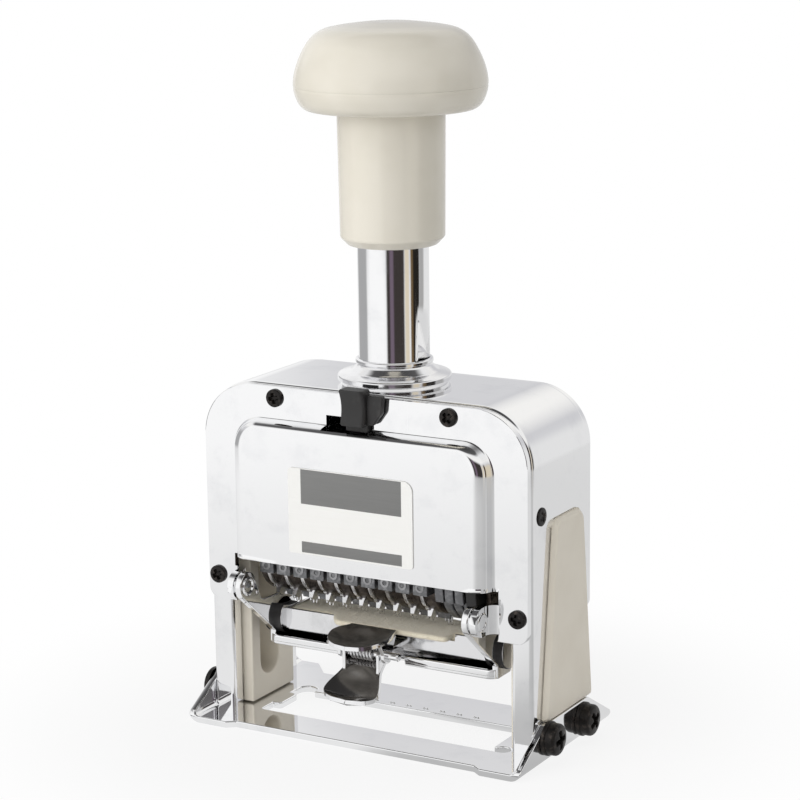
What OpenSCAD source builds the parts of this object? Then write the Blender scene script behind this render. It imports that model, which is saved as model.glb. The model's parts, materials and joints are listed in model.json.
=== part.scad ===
// Hand numbering machine with a pump handle, ten number wheels and a swinging ink pad.
// Millimetres. X runs along the wheel axle, Y runs backwards, Z is up from the paper.

/* [Frame] */
// Outer width of the bent frame band
frame_w = 83.4; // [82:0.2:90]
// Height of the frame's top above the paper
frame_h = 80.5; // [78:0.5:84]
// Depth of the frame band between the two covers
band_depth = 28; // [26:0.5:30]
// Thickness of the frame band's sheet
band_t = 1.6; // [1.2:0.1:2]
// Outer radius of the frame's top corners
corner_r = 13; // [10:0.5:16]
// Width of the flange around the front and the back
flange_w = 5.3; // [5:0.1:6]
// Depth of the return lip on each leg's flange
lip_d = 2; // [1:0.1:2.6]

/* [Covers] */
// Sheet thickness of the front and back covers
cover_t = 1.5; // [1:0.1:2]
// How far a cover's edge stays inside the frame band's outline
cover_inset = 0.4; // [0.2:0.1:1]
// Height of the lowest edge of a cover's two side strips
cover_foot_z = 28.6; // [26:0.2:32]
// Height of the raised panel's open lower edge
panel_z0 = 39.5; // [38:0.5:42]
// From the frame's top down to the top of the raised panel where it leaves the cover
panel_drop = 7.8; // [7:0.1:10.5]
// Half width of the raised panel where it leaves the cover
panel_half_w = 33; // [31:0.2:34]
// Height of the raised panel above the cover
panel_rise = 3.5; // [2.5:0.1:4]
// Half the distance between a cover's two upper screws
screw_top_x = 22.2; // [18:0.2:26]
// Radius of the head of a cover screw
cover_screw_head_r = 2.07; // [1.8:0.01:2.5]
// Radius of the thread of a cover screw
cover_screw_r = 1.2; // [1:0.05:1.5]
// Height of the head of a cover screw
cover_screw_head_h = 1; // [0.6:0.1:1.6]
// Width of the blank name plate
label_w = 32; // [20:1:40]
// Height of the blank name plate
label_h = 19.8; // [12:0.2:24]
// Thickness of the blank name plate
label_t = 0.4; // [0.2:0.1:1]

/* [Base] */
// Half length of the base plate over its end flanges, along the paper line
base_half_d = 23.2; // [22.8:0.1:25]
// Thickness of the base plate
base_t = 1.6; // [1:0.1:2]
// Height of the base plate's end flanges
base_flange_h = 9.4; // [8.6:0.2:12]
// Front edge of the printing window
window_y0 = -11.6; // [-13:0.1:-10]
// Rear edge of the printing window
window_y1 = 4.4; // [4.4:0.1:6]
// Height of the base screws above the paper
base_screw_z = 5.6; // [5.4:0.1:6]
// Radius of the washer on a base screw
base_washer_r = 3.9; // [3.2:0.1:4.2]
// Radius of the head of a base screw
base_screw_head_r = 3.6; // [3:0.1:4]
// Radius of the thread of a base screw
base_screw_r = 2; // [1.5:0.1:2.4]

/* [Side guides] */
// Thickness of the guide that stands proud of the side wall
guide_proud = 1.5; // [1:0.1:2]
// Half width of the guide's outer face at its top
guide_top_half = 8.6; // [8.6:0.1:9.4]
// Half width of the guide's outer face at its foot
guide_foot_half = 12.2; // [11:0.1:12.6]
// Height of the top of the guide's outer face
guide_top_z = 54.5; // [54:0.1:56]
// Front face of the inner guide block
guide_y0 = -9.5; // [-10:0.1:-9]
// Rear face of the inner guide block
guide_y1 = 8.4; // [8.2:0.1:9.6]
// Height of the upright slot's rounded lower end
slot_z0 = 7.1; // [6:0.1:7.1]
// Half width of the upright slot
slot_half = 4; // [3.4:0.1:4.6]

/* [Plunger] */
// Downward stroke of the plunger
stroke = 25.4; // [24:0.1:25.4]
// Radius of the plunger tube
tube_r = 8; // [7.6:0.1:8.2]
// Wall thickness of the plunger tube
tube_t = 1.6; // [1.2:0.1:2]
// Radius of the collar's flange on the frame
collar_r = 12.85; // [12.2:0.05:14]
// Radius of the handle sleeve at its lower end
sleeve_r = 11.75; // [11:0.05:12.4]
// Length of the handle sleeve
sleeve_l = 29.9; // [26:0.1:34]
// Largest radius of the knob
knob_r = 21.5; // [20:0.5:24]
// Height of the knob
knob_h = 19.2; // [18.6:0.2:21]

/* [Wheels] */
// Distance of one number wheel from the next
wheel_pitch = 4.466; // [4.46:0.002:4.48]
// Radius over the printing faces of a number wheel
wheel_r = 13; // [12.8:0.1:13]
// Height of the wheel axle above the paper at rest
axle_z = 38.6; // [38.6:0.1:39]
// Place of the wheel axle along Y
axle_y = -1.9; // [-2.1:0.1:-1.9]
// Radius of the wheel axle
axle_r = 3; // [2.5:0.1:3.5]
// Width of a printing block along the axle
block_w = 3.75; // [3.5:0.05:3.8]
// Height of a printing block along the rim
block_h = 5.4; // [4.8:0.1:5.6]
// Radius of a wheel's ratchet disc
ratchet_r = 10.1; // [9.8:0.1:10.4]

/* [Ink pad] */
// Place of the tray's hinge along Y
hinge_y = -19; // [-19.2:0.1:-18.8]
// Height of the tray's hinge
hinge_z = 33.6; // [33.4:0.1:33.8]
// Radius of the hinge eyes
eye_r = 3.3; // [3:0.1:3.6]
// Half width of the tray over its two arms
tray_half_w = 30; // [29.8:0.1:30.1]
// Thickness of the tray's sheet
tray_t = 1.6; // [1.2:0.1:1.6]
// Height of the pad's inked face
pad_z = 25.3; // [25:0.1:25.3]
// Depth of the felt below its inked face
pad_t = 2.9; // [2:0.1:3]
// How far the felt's front tongue reaches past the holder
tongue_y = 3.4; // [2:0.1:4]
// Place of the two finger levers along X
finger_x = -0.9; // [-3:0.1:3]

/* [Hidden] */
$fn = 64;
gap = 0.3;
fit = 0.05;
eps = 0.01;
through = 1;

frame_half_w = frame_w / 2;
band_half = band_depth / 2;
cover_out = band_half + cover_t;
panel_out = cover_out + panel_rise;
panel_z1 = frame_h - panel_drop;
cover_half_w = frame_half_w - cover_inset;
cover_top = frame_h - cover_inset;
inner_half_w = frame_half_w - band_t;
leg_inner_x = frame_half_w - flange_w;
screw_line = flange_w / 2 + 0.3;
screw_top_z = frame_h - screw_line;
screw_side_x = frame_half_w - screw_line;
screw_side_z = cover_foot_z + 5.7;
panel_slope_x = 3.6;
panel_slope_z = 1.4;
panel_r = 7;
cover_foot_r = 2.5;

label_x = -0.9;
label_z = 53.2;
label_r = 2.2;

flange_out = frame_half_w + band_t;
base_screw_ys = [-10.9, 5.9];
base_washer_t = 1;
base_head_h = 2.5;
base_flat_head_h = 1.8;
base_screw_l = base_t + band_t + 0.8;
base_inner_r = 1.2;
base_narrow = 1.5;
window_x0 = -30.6;
window_x1 = 29.5;
rear_bar_y = 17.4;
tick_count = 9;

guide_out = frame_half_w + guide_proud;
guide_in = leg_inner_x - 2.4;
guide_foot_z = base_flange_h + 0.15;
guide_block_z1 = guide_top_z - 1.5;
slot_z1 = 50;
shoe_half = slot_half - gap;

tube_in_r = tube_r - tube_t;
collar_flange_h = 2.1;
collar_neck_z = frame_h + 5.7;
sleeve_z0 = collar_neck_z + stroke + gap;
knob_z0 = sleeve_z0 + sleeve_l;
knob_split_z = knob_z0 + 5.3;
knob_top_z = knob_z0 + knob_h;
tube_nut_h = 3.4;
tube_top_z = knob_split_z + tube_nut_h + 1.6;
knob_low_h = knob_split_z - knob_z0;
knob_dome_h = knob_top_z - knob_split_z;
sleeve_top_r = sleeve_r + 0.35;

wheel_count = 10;
first_wheel_x = -26.1;
wheel_step = 30;
blank_steps = 2;
disc_w = 0.9;
cam_w = 2.2;
cam_count = 3;
first_cam_x = 18.9;
cam_pitch = 2.5;

head_plate_x = 28.8;
head_plate_t = 1.4;
bridge_z0 = axle_z + wheel_r + 0.6;
bridge_t = 2.3;
bridge_top = bridge_z0 + bridge_t;
head_flange_t = 1.4;
head_half_w = guide_in - 0.4;
head_screw_head_r = 1.6;
head_screw_r = 1;
head_screw_x = head_half_w - head_screw_head_r;
head_screw_y = 5;
bridge_half_d = 8;
seat_z0 = bridge_top + 0.5;
seat_t = 3;
seat_top = seat_z0 + seat_t;
slot_web = 2.6;
tube_slot_half = slot_web + gap + 0.1;
tube_slot_z0 = seat_z0 - 0.4;
tube_slot_z1 = seat_top + stroke + 0.4;
side_screw_y = -9.7;
side_screw_z = 56.3;
plug_z0 = tube_top_z - 4;
pawl_y = 12.4;
pawl_z = axle_z + 8.4;
pawl_shaft_r = 1.5;
detent_y = 8.2;

eye_x = tray_half_w + 0.4;
eye_t = 1.6;
hinge_pin_r = 2.2;
arm_in_x = tray_half_w - tray_t;
tray_floor_z = 17;
tray_front_y = -8.9;
tray_rear_y = -1.8;
tray_lip_top = tray_floor_z + 2.2;
boss_y = -4.2;
boss_z = 23;
boss_r = 4.3;
holder_half_w = arm_in_x - 1.6;
holder_t = 0.7;
holder_y0 = -5.8;
holder_y1 = 4.4;
holder_z0 = pad_z - 5.3;
felt_half_w = holder_half_w - holder_t - 0.1;
tongue_x0 = -13;
tongue_x1 = 17.6;
pivot_y = -13.8;
pivot_z = 20.5;
lever_pin_r = 0.9;
finger_half_w = 7.4;
finger_t = 0.9;
finger_neck_half = 4.6;
finger_seat = 3;
finger_tilt = 6;
spoon_z = pad_z;
lever_slant = 40;

lock_x0 = -3.3;
lock_x1 = 2.8;
lock_travel = 5.2;
lock_z0 = frame_h - 6.6;
lock_z1 = lock_z0 + 8.2;
lock_slot_z0 = lock_z0 - 1.9;
lock_slot_z1 = frame_h - flange_w - 0.2;
lock_back_y = -band_half + band_t + gap;

// ---- shared shapes ----

// Extrudes an XZ outline from y0 to y1
module along_y(y0, y1) {
    translate([0, y1, 0]) rotate([90, 0, 0]) linear_extrude(y1 - y0) children();
}

// Extrudes a YZ outline from x0 to x1
module along_x(x0, x1) {
    translate([x0, 0, 0]) rotate([90, 0, 90]) linear_extrude(x1 - x0) children();
}

// Round bar along X through the point (y, z)
module bar_x(r, x0, x1, y, z) {
    along_x(x0, x1) translate([y, z]) circle(r);
}

// Round bar along Y through the point (x, z)
module bar_y(r, y0, y1, x, z) {
    along_y(y0, y1) translate([x, z]) circle(r);
}

// Box between two corners
module block(low, high) {
    translate(low) cube(high - low);
}

// Outline with straight foot and rounded top corners
module arch_2d(half_w, z0, z1, r) {
    translate([-half_w, z0]) square([2 * half_w, z1 - r - z0]);
    translate([-half_w + r, z0]) square([2 * (half_w - r), z1 - z0]);
    for (side = [-1, 1])
        translate([side * (half_w - r), z1 - r]) circle(r);
}

// Rectangle with four rounded corners, given by its low and high corners
module rounded_2d(low, high, r) {
    translate([low[0] + r, low[1]]) square([high[0] - low[0] - 2 * r, high[1] - low[1]]);
    translate([low[0], low[1] + r]) square([high[0] - low[0], high[1] - low[1] - 2 * r]);
    for (x = [low[0] + r, high[0] - r], z = [low[1] + r, high[1] - r])
        translate([x, z]) circle(r);
}

// Screw along -Z with a crossed recess, its head standing on z = 0
module cross_screw(head_r, head_h, thread_r, thread_l) {
    recess_w = head_r * 0.34;
    recess_l = head_r * 1.3;
    recess_d = head_h * 0.6;
    difference() {
        union() {
            cylinder(r = head_r, h = head_h);
            translate([0, 0, -thread_l]) cylinder(r = thread_r, h = thread_l + eps);
        }
        for (turn = [0, 90])
            rotate(turn)
                translate([-recess_l / 2, -recess_w / 2, head_h - recess_d])
                    cube([recess_l, recess_w, recess_d + through]);
    }
}

// Places its children at both ends of the machine, the left one mirrored
module both_ends() {
    children();
    mirror([1, 0, 0]) children();
}

// ---- frame ----

module frame_band() {
    color("gainsboro") difference() {
        union() {
            difference() {
                along_y(-band_half, band_half)
                    arch_2d(frame_half_w, base_t, frame_h, corner_r);
                along_y(-band_half + band_t, band_half - band_t)
                    arch_2d(inner_half_w, base_t - through, frame_h - band_t, corner_r - band_t);
                along_y(-band_half - through, band_half + through)
                    arch_2d(leg_inner_x, base_t - through, frame_h - flange_w, corner_r - flange_w);
            }
            leg_lips();
        }
        translate([0, 0, frame_h - band_t - through])
            cylinder(r = tube_r + 1.6, h = band_t + 2 * through);
        both_ends() {
            block([inner_half_w - through, -guide_top_half + 0.4, guide_foot_z + 1],
                  [frame_half_w + through, guide_top_half - 0.4, guide_block_z1 - 1.5]);
            bar_x(cover_screw_r, inner_half_w - through, frame_half_w + through,
                  side_screw_y, side_screw_z);
            for (y = base_screw_ys)
                bar_x(base_screw_r, inner_half_w - through, frame_half_w + through, y, base_screw_z);
            for (y = [-band_half, band_half - band_t]) {
                bar_y(cover_screw_r, y - through, y + band_t + through, screw_top_x, screw_top_z);
                bar_y(cover_screw_r, y - through, y + band_t + through, screw_side_x, screw_side_z);
            }
        }
        leg_foot_rounds();
    }
}

// Cutter that rounds the outer lower corner of both legs to suit the base plate's bends
module leg_foot_rounds() {
    foot_r = base_inner_r + 0.6;
    both_ends() difference() {
        block([frame_half_w - foot_r, -band_half - through, base_t - through],
              [frame_half_w + through, band_half + through, base_t + foot_r]);
        bar_y(foot_r, -band_half - 2 * through, band_half + 2 * through,
              frame_half_w - foot_r, base_t + foot_r);
    }
}

// Return lips that stiffen the inner edge of each leg's flanges
module leg_lips() {
    both_ends()
        for (side = [-1, 1])
            block([leg_inner_x, side > 0 ? band_half - band_t - lip_d : -band_half + band_t - eps, base_t],
                  [leg_inner_x + 1, side > 0 ? band_half - band_t + eps : -band_half + band_t + lip_d,
                   panel_z0]);
}

// Cover sheet with its raised panel on the outside, facing -Y
module cover_shell() {
    difference() {
        union() {
            along_y(-cover_out, -band_half)
                cover_outline();
            panel_solid(0, panel_z0);
        }
        panel_solid(cover_t, panel_z0 - through);
        both_ends() {
            bar_y(cover_screw_r, -cover_out - through, -band_half + through, screw_top_x, screw_top_z);
            bar_y(cover_screw_r, -cover_out - through, -band_half + through, screw_side_x, screw_side_z);
        }
    }
}

// Outline of the cover sheet: an arch whose two strips end in rounded feet
module cover_outline() {
    difference() {
        union() {
            arch_2d(cover_half_w, cover_foot_z + cover_foot_r, cover_top, corner_r - cover_inset);
            for (side = [-1, 1]) {
                translate([side * (cover_half_w - cover_foot_r), cover_foot_z + cover_foot_r])
                    circle(cover_foot_r);
                translate([side > 0 ? panel_half_w : cover_foot_r - cover_half_w, cover_foot_z])
                    square([cover_half_w - cover_foot_r - panel_half_w, cover_foot_r + eps]);
            }
        }
        translate([-panel_half_w, cover_foot_z - through])
            square([2 * panel_half_w, panel_z0 - cover_foot_z + through]);
    }
}

// Raised panel, tapering towards its face; inset is the sheet's thickness for the hollow
module panel_solid(inset, foot_z) {
    hull() {
        along_y(-cover_out + inset, -band_half + through * (inset > 0 ? 1 : 0))
            arch_2d(panel_half_w - inset, foot_z, panel_z1 - inset, panel_r, $fn = 32);
        along_y(-panel_out + inset, -panel_out + inset + 0.2)
            arch_2d(panel_half_w - panel_slope_x - inset * 0.4, foot_z,
                    panel_z1 - panel_slope_z - inset * 0.6, panel_r - 2, $fn = 32);
    }
}

module front_cover() {
    color("whitesmoke") difference() {
        union() {
            cover_shell();
            both_ends() cover_ear();
        }
        block([lock_x0 - lock_travel - gap, -panel_out, lock_slot_z0],
              [lock_x1 + gap, -band_half + through, lock_slot_z1]);
        both_ends()
            bar_x(hinge_pin_r + fit, eye_x - through, eye_x + eye_t + through, hinge_y, hinge_z);
    }
}

// Hinge ear bent forward from a side strip of the front cover
module cover_ear() {
    fillet_r = 2.4;
    bar_x(eye_r + 0.1, eye_x, eye_x + eye_t, hinge_y, hinge_z);
    block([eye_x, hinge_y, hinge_z - eye_r], [eye_x + eye_t, -band_half, hinge_z + eye_r]);
    block([eye_x, -cover_out, hinge_z - eye_r], [panel_half_w + eps, -band_half, hinge_z + eye_r]);
    difference() {
        block([eye_x + eye_t - eps, -cover_out - fillet_r, hinge_z - eye_r],
              [eye_x + eye_t + fillet_r, -cover_out + eps, hinge_z + eye_r]);
        translate([eye_x + eye_t + fillet_r, -cover_out - fillet_r, hinge_z - eye_r - through])
            cylinder(r = fillet_r, h = 2 * (eye_r + through));
    }
}

module back_cover() {
    color("whitesmoke") difference() {
        mirror([0, 1, 0]) cover_shell();
        bar_y(pivot_hole_r, band_half, panel_out + through, 0, action_z);
    }
}

module name_plate() {
    color("ivory") along_y(-panel_out - label_t, -panel_out)
        rounded_2d([label_x - label_w / 2, label_z - label_h / 2],
                   [label_x + label_w / 2, label_z + label_h / 2], label_r);
}

// Four cover screws on the face that looks along -Y
module cover_screw_set() {
    thread_l = cover_t + band_t + 1;
    for (side = [-1, 1], place = [[screw_top_x, screw_top_z], [screw_side_x, screw_side_z]])
        translate([side * place[0], -cover_out, place[1]])
            rotate([90, 0, 0])
                cross_screw(cover_screw_head_r, cover_screw_head_h, cover_screw_r, thread_l);
}

module front_cover_screws() {
    color("black") cover_screw_set();
}

module back_cover_screws() {
    color("black") mirror([0, 1, 0]) cover_screw_set();
}

module side_screws() {
    thread_l = band_t + 1.8;
    color("black") both_ends()
        translate([frame_half_w, side_screw_y, side_screw_z]) rotate([0, 90, 0])
            cross_screw(cover_screw_head_r, cover_screw_head_h, cover_screw_r, thread_l);
}

// ---- base ----

module base_plate() {
    color("gainsboro") difference() {
        intersection() {
            bent_sheet();
            along_x(-flange_out - through, flange_out + through) base_flange_outline();
            linear_extrude(2 * base_flange_h, center = true) base_outline();
        }
        translate([0, 0, -through]) linear_extrude(base_t + 2 * through) window_outline();
        both_ends()
            for (y = base_screw_ys)
                bar_x(base_screw_r, frame_half_w - through, flange_out + through, y, base_screw_z);
        for (i = [0 : tick_count - 1])
            translate([first_wheel_x + wheel_pitch * (i + 1.5), window_y1 + 1.4, base_t - 0.2])
                cube([1.4, 0.5, 0.4]);
    }
}

// Sheet of the base with both ends bent up round the legs
module bent_sheet() {
    high = 2 * base_flange_h;
    along_y(-base_half_d - through, base_half_d + through) difference() {
        rounded_2d([-flange_out, 0], [flange_out, high], base_inner_r + base_t);
        rounded_2d([-frame_half_w, base_t], [frame_half_w, high + base_t + through], base_inner_r);
    }
}

// Plan of the base plate: wide at both ends, with a narrower bar in front and behind
module base_outline() {
    end_x = 33;
    bar_x0 = 31;
    front_y = -base_half_d;
    polygon([[-flange_out, front_y], [-end_x, front_y],
             [-bar_x0, front_y + base_narrow], [bar_x0, front_y + base_narrow], [end_x, front_y],
             [flange_out, front_y], [flange_out, base_half_d],
             [end_x + 3, base_half_d], [bar_x0, rear_bar_y],
             [-bar_x0, rear_bar_y], [-end_x - 3, base_half_d], [-flange_out, base_half_d]]);
}

// Printing window with a pointer tongue at its left end and round relief notches
module window_outline() {
    tongue_half = 3.8;
    tongue_mid_y = -2.5;
    tongue_tip_x = first_wheel_x - wheel_pitch / 2 - gap / 2;
    difference() {
        union() {
            rounded_2d([window_x0, window_y0], [window_x1, window_y1], 0.8);
            translate([window_x0 + 2.4, window_y1 + 0.6]) circle(2.4);
            translate([window_x1 + 2.6, window_y0 + 1.8]) circle(1.8);
            translate([window_x1 - 2, window_y0]) square([4, 2.6]);
        }
        rounded_2d([window_x0 - through, tongue_mid_y - tongue_half],
                   [tongue_tip_x, tongue_mid_y + tongue_half], 1);
    }
}

// Side view of an end flange: flat top and two slanting shoulders
module base_flange_outline() {
    toe = 2.8;
    shoulder = 11.2;
    polygon([[-base_half_d, -through], [base_half_d, -through],
             [base_half_d, toe - 1], [base_half_d - 0.8, toe],
             [shoulder, base_flange_h - 0.2], [shoulder - 1, base_flange_h],
             [-shoulder + 1, base_flange_h], [-shoulder, base_flange_h - 0.2],
             [-base_half_d + 0.8, toe], [-base_half_d, toe - 1]]);
}

// Tall screws with washers on the right end
module base_screws_right() {
    color("black")
        for (y = base_screw_ys)
            translate([flange_out, y, base_screw_z]) rotate([0, 90, 0]) union() {
                cylinder(r = base_washer_r, h = base_washer_t);
                translate([0, 0, base_washer_t - eps])
                    cross_screw(base_screw_head_r, base_head_h, base_screw_r,
                                base_washer_t + base_screw_l);
            }
}

// Flat screws on the left end
module base_screws_left() {
    color("black") mirror([1, 0, 0])
        for (y = base_screw_ys)
            translate([flange_out, y, base_screw_z]) rotate([0, 90, 0])
                cross_screw(base_washer_r, base_flat_head_h, base_screw_r, base_screw_l);
}

// ---- side guides ----

// Guide block of the right leg: a bevelled outer cover and an inner block with the slot
module side_guide() {
    bevel = 0.7;
    round_r = 2.6;
    difference() {
        union() {
            hull() {
                along_x(frame_half_w, frame_half_w + 0.2)
                    guide_corners(0, round_r);
                along_x(guide_out - 0.2, guide_out)
                    guide_corners(bevel, round_r);
            }
            block([guide_in, guide_y0, base_t + gap], [inner_half_w, guide_y1, guide_block_z1]);
            block([inner_half_w - eps, -guide_top_half + 0.6, guide_foot_z + 1.2],
                  [frame_half_w + eps, guide_top_half - 0.6, guide_block_z1 - 1.7]);
        }
        along_x(guide_in - through, frame_half_w - 0.4)
            rounded_2d([axle_y - slot_half, slot_z0], [axle_y + slot_half, slot_z1], slot_half - eps);
        for (y = base_screw_ys)
            bar_x(base_screw_r + 1, inner_half_w - 3, inner_half_w + through, y, base_screw_z);
    }
}

// Rounds of the guide's outer face, drawn in by inset: large ones on top, small ones at its foot
module guide_corners(inset, round_r) {
    foot_r = 0.8;
    top_z = guide_top_z - inset - round_r;
    foot_z = guide_foot_z + inset * 0.2 + foot_r;
    for (side = [-1, 1]) {
        translate([side * (guide_top_half - inset - round_r), top_z]) circle(round_r, $fn = 32);
        translate([side * (guide_foot_half - inset - foot_r), foot_z]) circle(foot_r, $fn = 32);
    }
}

module side_guide_right() {
    color("wheat") side_guide();
}

module side_guide_left() {
    color("wheat") mirror([1, 0, 0]) side_guide();
}

// ---- collar ----

module top_collar() {
    bore_r = tube_r + fit;
    groove_z = frame_h + collar_flange_h * 0.5;
    color("silver") rotate_extrude()
        polygon([[bore_r, frame_h - 4.6], [tube_r + 1.6 - fit, frame_h - 4.6],
                 [tube_r + 1.6 - fit, frame_h], [collar_r - 0.2, frame_h],
                 [collar_r, frame_h + 0.3], [collar_r, groove_z - 0.25],
                 [collar_r - 0.3, groove_z], [collar_r, groove_z + 0.25],
                 [collar_r, frame_h + collar_flange_h - 0.3],
                 [collar_r - 0.6, frame_h + collar_flange_h],
                 [collar_r - 2.4, frame_h + collar_flange_h + 0.5],
                 [tube_r + 0.9, collar_neck_z - 2],
                 [tube_r + 0.6, collar_neck_z - 1.1], [tube_r + 0.95, collar_neck_z - 0.9],
                 [tube_r + 0.95, collar_neck_z - 0.3], [tube_r + 0.65, collar_neck_z],
                 [bore_r, collar_neck_z]]);
}

module collar_nut() {
    nut_r = collar_r - 0.25;
    color("silver") translate([0, 0, frame_h - band_t - 2.6]) difference() {
        cylinder(r = nut_r, h = 2.6, $fn = 6);
        translate([0, 0, -through]) cylinder(r = tube_r + 1.6, h = 2.6 + 2 * through);
    }
}

// ---- lock lever on the front ----

module lock_lever() {
    plate_y = -cover_out - gap;
    plate_t = 1.2;
    pad_y = plate_y - plate_t - 3;
    color("black") {
        along_y(plate_y - plate_t, plate_y)
            polygon([[lock_x0 + 0.4, lock_z0 + 0.5], [lock_x1 + 1.1, lock_z0 + 0.5],
                     [lock_x1 + 3.5, lock_z0 + 3.4], [lock_x1 + 3.9, lock_z1 - 1.4],
                     [lock_x0 + 0.4, lock_z1 - 1.4]]);
        along_y(pad_y, plate_y - plate_t + eps)
            rounded_2d([lock_x0, lock_z0], [lock_x1, lock_z1], 1.1);
        block([lock_x0 + gap, plate_y - eps, lock_slot_z0 + gap],
              [lock_x1, lock_back_y, lock_slot_z1 - gap]);
        block([lock_x0 + 0.4, plate_y - plate_t, lock_slot_z0 + gap],
              [lock_x1, plate_y, lock_z0 + 0.8]);
    }
}

// Keeper behind the frame's flange that holds the lever in its slot
module lock_slide() {
    color("dimgray") block([lock_x0 - 1, lock_back_y, lock_slot_z0 + gap],
                           [lock_x1 + 1, lock_back_y + 1, lock_slot_z1 + 3]);
}

// ---- fixed spring seat inside the frame ----

module spring_seat_bar() {
    seat_half_d = 12.2;
    tab_half_h = 3;
    color("lightgray") difference() {
        union() {
            block([-inner_half_w, -seat_half_d, seat_z0], [inner_half_w, seat_half_d, seat_top]);
            both_ends()
                block([inner_half_w - 1.6, side_screw_y - 2.5, seat_z0],
                      [inner_half_w, side_screw_y + 2.5, side_screw_z + tab_half_h]);
        }
        difference() {
            translate([0, 0, seat_z0 - through])
                cylinder(r = tube_r + 0.4, h = seat_t + 2 * through);
            translate([0, 0, seat_z0 - 2 * through])
                cylinder(r = tube_in_r - 0.4, h = seat_t + 4 * through);
            block([-tube_r - through, -slot_web, seat_z0 - 2 * through],
                  [tube_r + through, slot_web, seat_top + 2 * through]);
        }
        both_ends()
            bar_x(cover_screw_r, inner_half_w - 3, inner_half_w + through, side_screw_y, side_screw_z);
    }
}

module spring_guide_rod() {
    color("silver") translate([0, 0, seat_top])
        cylinder(r = 3.2, h = plug_z0 - stroke - seat_top - 3);
}

// Envelope of the coil spring between the fixed seat and the tube's plug
module main_spring() {
    color("darkgray") translate([0, 0, seat_top]) difference() {
        cylinder(r = tube_in_r - 0.6, h = plug_z0 - seat_top);
        translate([0, 0, -through]) cylinder(r = 3.8, h = plug_z0 - seat_top + 2 * through);
    }
}

// ---- plunger ----

module plunger_tube() {
    color("silver") difference() {
        translate([0, 0, bridge_z0]) cylinder(r = tube_r, h = tube_top_z - bridge_z0);
        translate([0, 0, bridge_z0 - through])
            cylinder(r = tube_in_r, h = tube_top_z - bridge_z0 + 2 * through);
        block([-tube_r - through, -tube_slot_half, tube_slot_z0],
              [tube_r + through, tube_slot_half, tube_slot_z1]);
    }
}

module tube_plug() {
    color("darkgray") translate([0, 0, plug_z0]) cylinder(r = tube_in_r, h = tube_top_z - plug_z0);
}

module tube_nut() {
    color("darkgray") translate([0, 0, knob_split_z]) difference() {
        cylinder(r = tube_r + tube_nut_h, h = tube_nut_h, $fn = 6);
        translate([0, 0, -through]) cylinder(r = tube_r, h = tube_nut_h + 2 * through);
    }
}

module handle_sleeve() {
    lip = 1.2;
    color("antiquewhite") rotate_extrude()
        polygon([[tube_r, sleeve_z0], [sleeve_r - 0.9, sleeve_z0], [sleeve_r, sleeve_z0 + lip],
                 [sleeve_top_r, knob_z0], [tube_r, knob_z0]]);
}

// Lower half of the knob, below the moulded parting line; outline as shares of radius and height
module knob_lower() {
    outline = [[0.879, 0], [0.912, 0.113], [0.958, 0.453], [0.988, 0.792], [0.999, 1]];
    color("antiquewhite") rotate_extrude()
        polygon(concat([[tube_r, knob_z0]],
                       [for (p = outline) [knob_r * p[0], knob_z0 + knob_low_h * p[1]]],
                       [[tube_r, knob_split_z]]));
}

// Upper shell of the knob: a flat dome that falls in rounded shoulders, outlined by shares too
module knob_upper() {
    outline = [[1, 0], [1, 0.058], [0.988, 0.194], [0.956, 0.381], [0.907, 0.561], [0.847, 0.719],
               [0.781, 0.835], [0.712, 0.906], [0.581, 0.95], [0.349, 0.986], [0, 1]];
    room_r = tube_r + 5;
    room_top = tube_top_z + 0.6;
    color("antiquewhite") rotate_extrude()
        polygon(concat([[room_r, knob_split_z]],
                       [for (p = outline) [knob_r * p[0], knob_split_z + knob_dome_h * p[1]]],
                       [[0, room_top], [room_r, room_top]]));
}

// ---- printing head ----

module head_bridge() {
    color("silver") difference() {
        block([-head_half_w, -bridge_half_d, bridge_z0], [head_half_w, bridge_half_d, bridge_top]);
        translate([0, 0, bridge_z0 - through]) cylinder(r = tube_r, h = bridge_t + 2 * through);
        both_ends()
            for (y = [-head_screw_y, head_screw_y])
                translate([head_screw_x, y, bridge_z0 - through])
                    cylinder(r = head_screw_r, h = bridge_t + 2 * through);
    }
}

// Right side plate of the head, with its outward flange under the bridge
module head_plate() {
    difference() {
        union() {
            along_x(head_plate_x, head_plate_x + head_plate_t) union() {
                translate([axle_y, axle_z]) circle(head_plate_r);
                translate([-bridge_half_d, axle_z]) square([2 * bridge_half_d, bridge_z0 - axle_z]);
                translate([axle_y, axle_z + 4]) square([pawl_y + 2.2 - axle_y, bridge_z0 - axle_z - 4]);
            }
            block([head_plate_x, -bridge_half_d, bridge_z0 - head_flange_t],
                  [head_half_w, bridge_half_d, bridge_z0]);
        }
        bar_x(axle_r, head_plate_x - through, head_plate_x + head_plate_t + through, axle_y, axle_z);
        bar_x(pawl_shaft_r, head_plate_x - through, head_plate_x + head_plate_t + through,
              pawl_y, pawl_z);
        for (y = [-head_screw_y, head_screw_y])
            translate([head_screw_x, y, bridge_z0 - head_flange_t - through])
                cylinder(r = head_screw_r, h = head_flange_t + 2 * through);
    }
}

module head_plate_right() {
    color("dimgray") head_plate();
}

module head_plate_left() {
    color("dimgray") mirror([1, 0, 0]) head_plate();
}

// Screws that hold the side plates' flanges to the bridge, heads below
module head_screws() {
    color("black") both_ends()
        for (y = [-head_screw_y, head_screw_y])
            translate([head_screw_x, y, bridge_z0 - head_flange_t]) mirror([0, 0, 1])
                cross_screw(head_screw_head_r, 1.1, head_screw_r, head_flange_t + bridge_t - 0.2);
}

module wheel_axle() {
    color("silver") bar_x(axle_r, -axle_half_l, axle_half_l, axle_y, axle_z);
}

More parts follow.
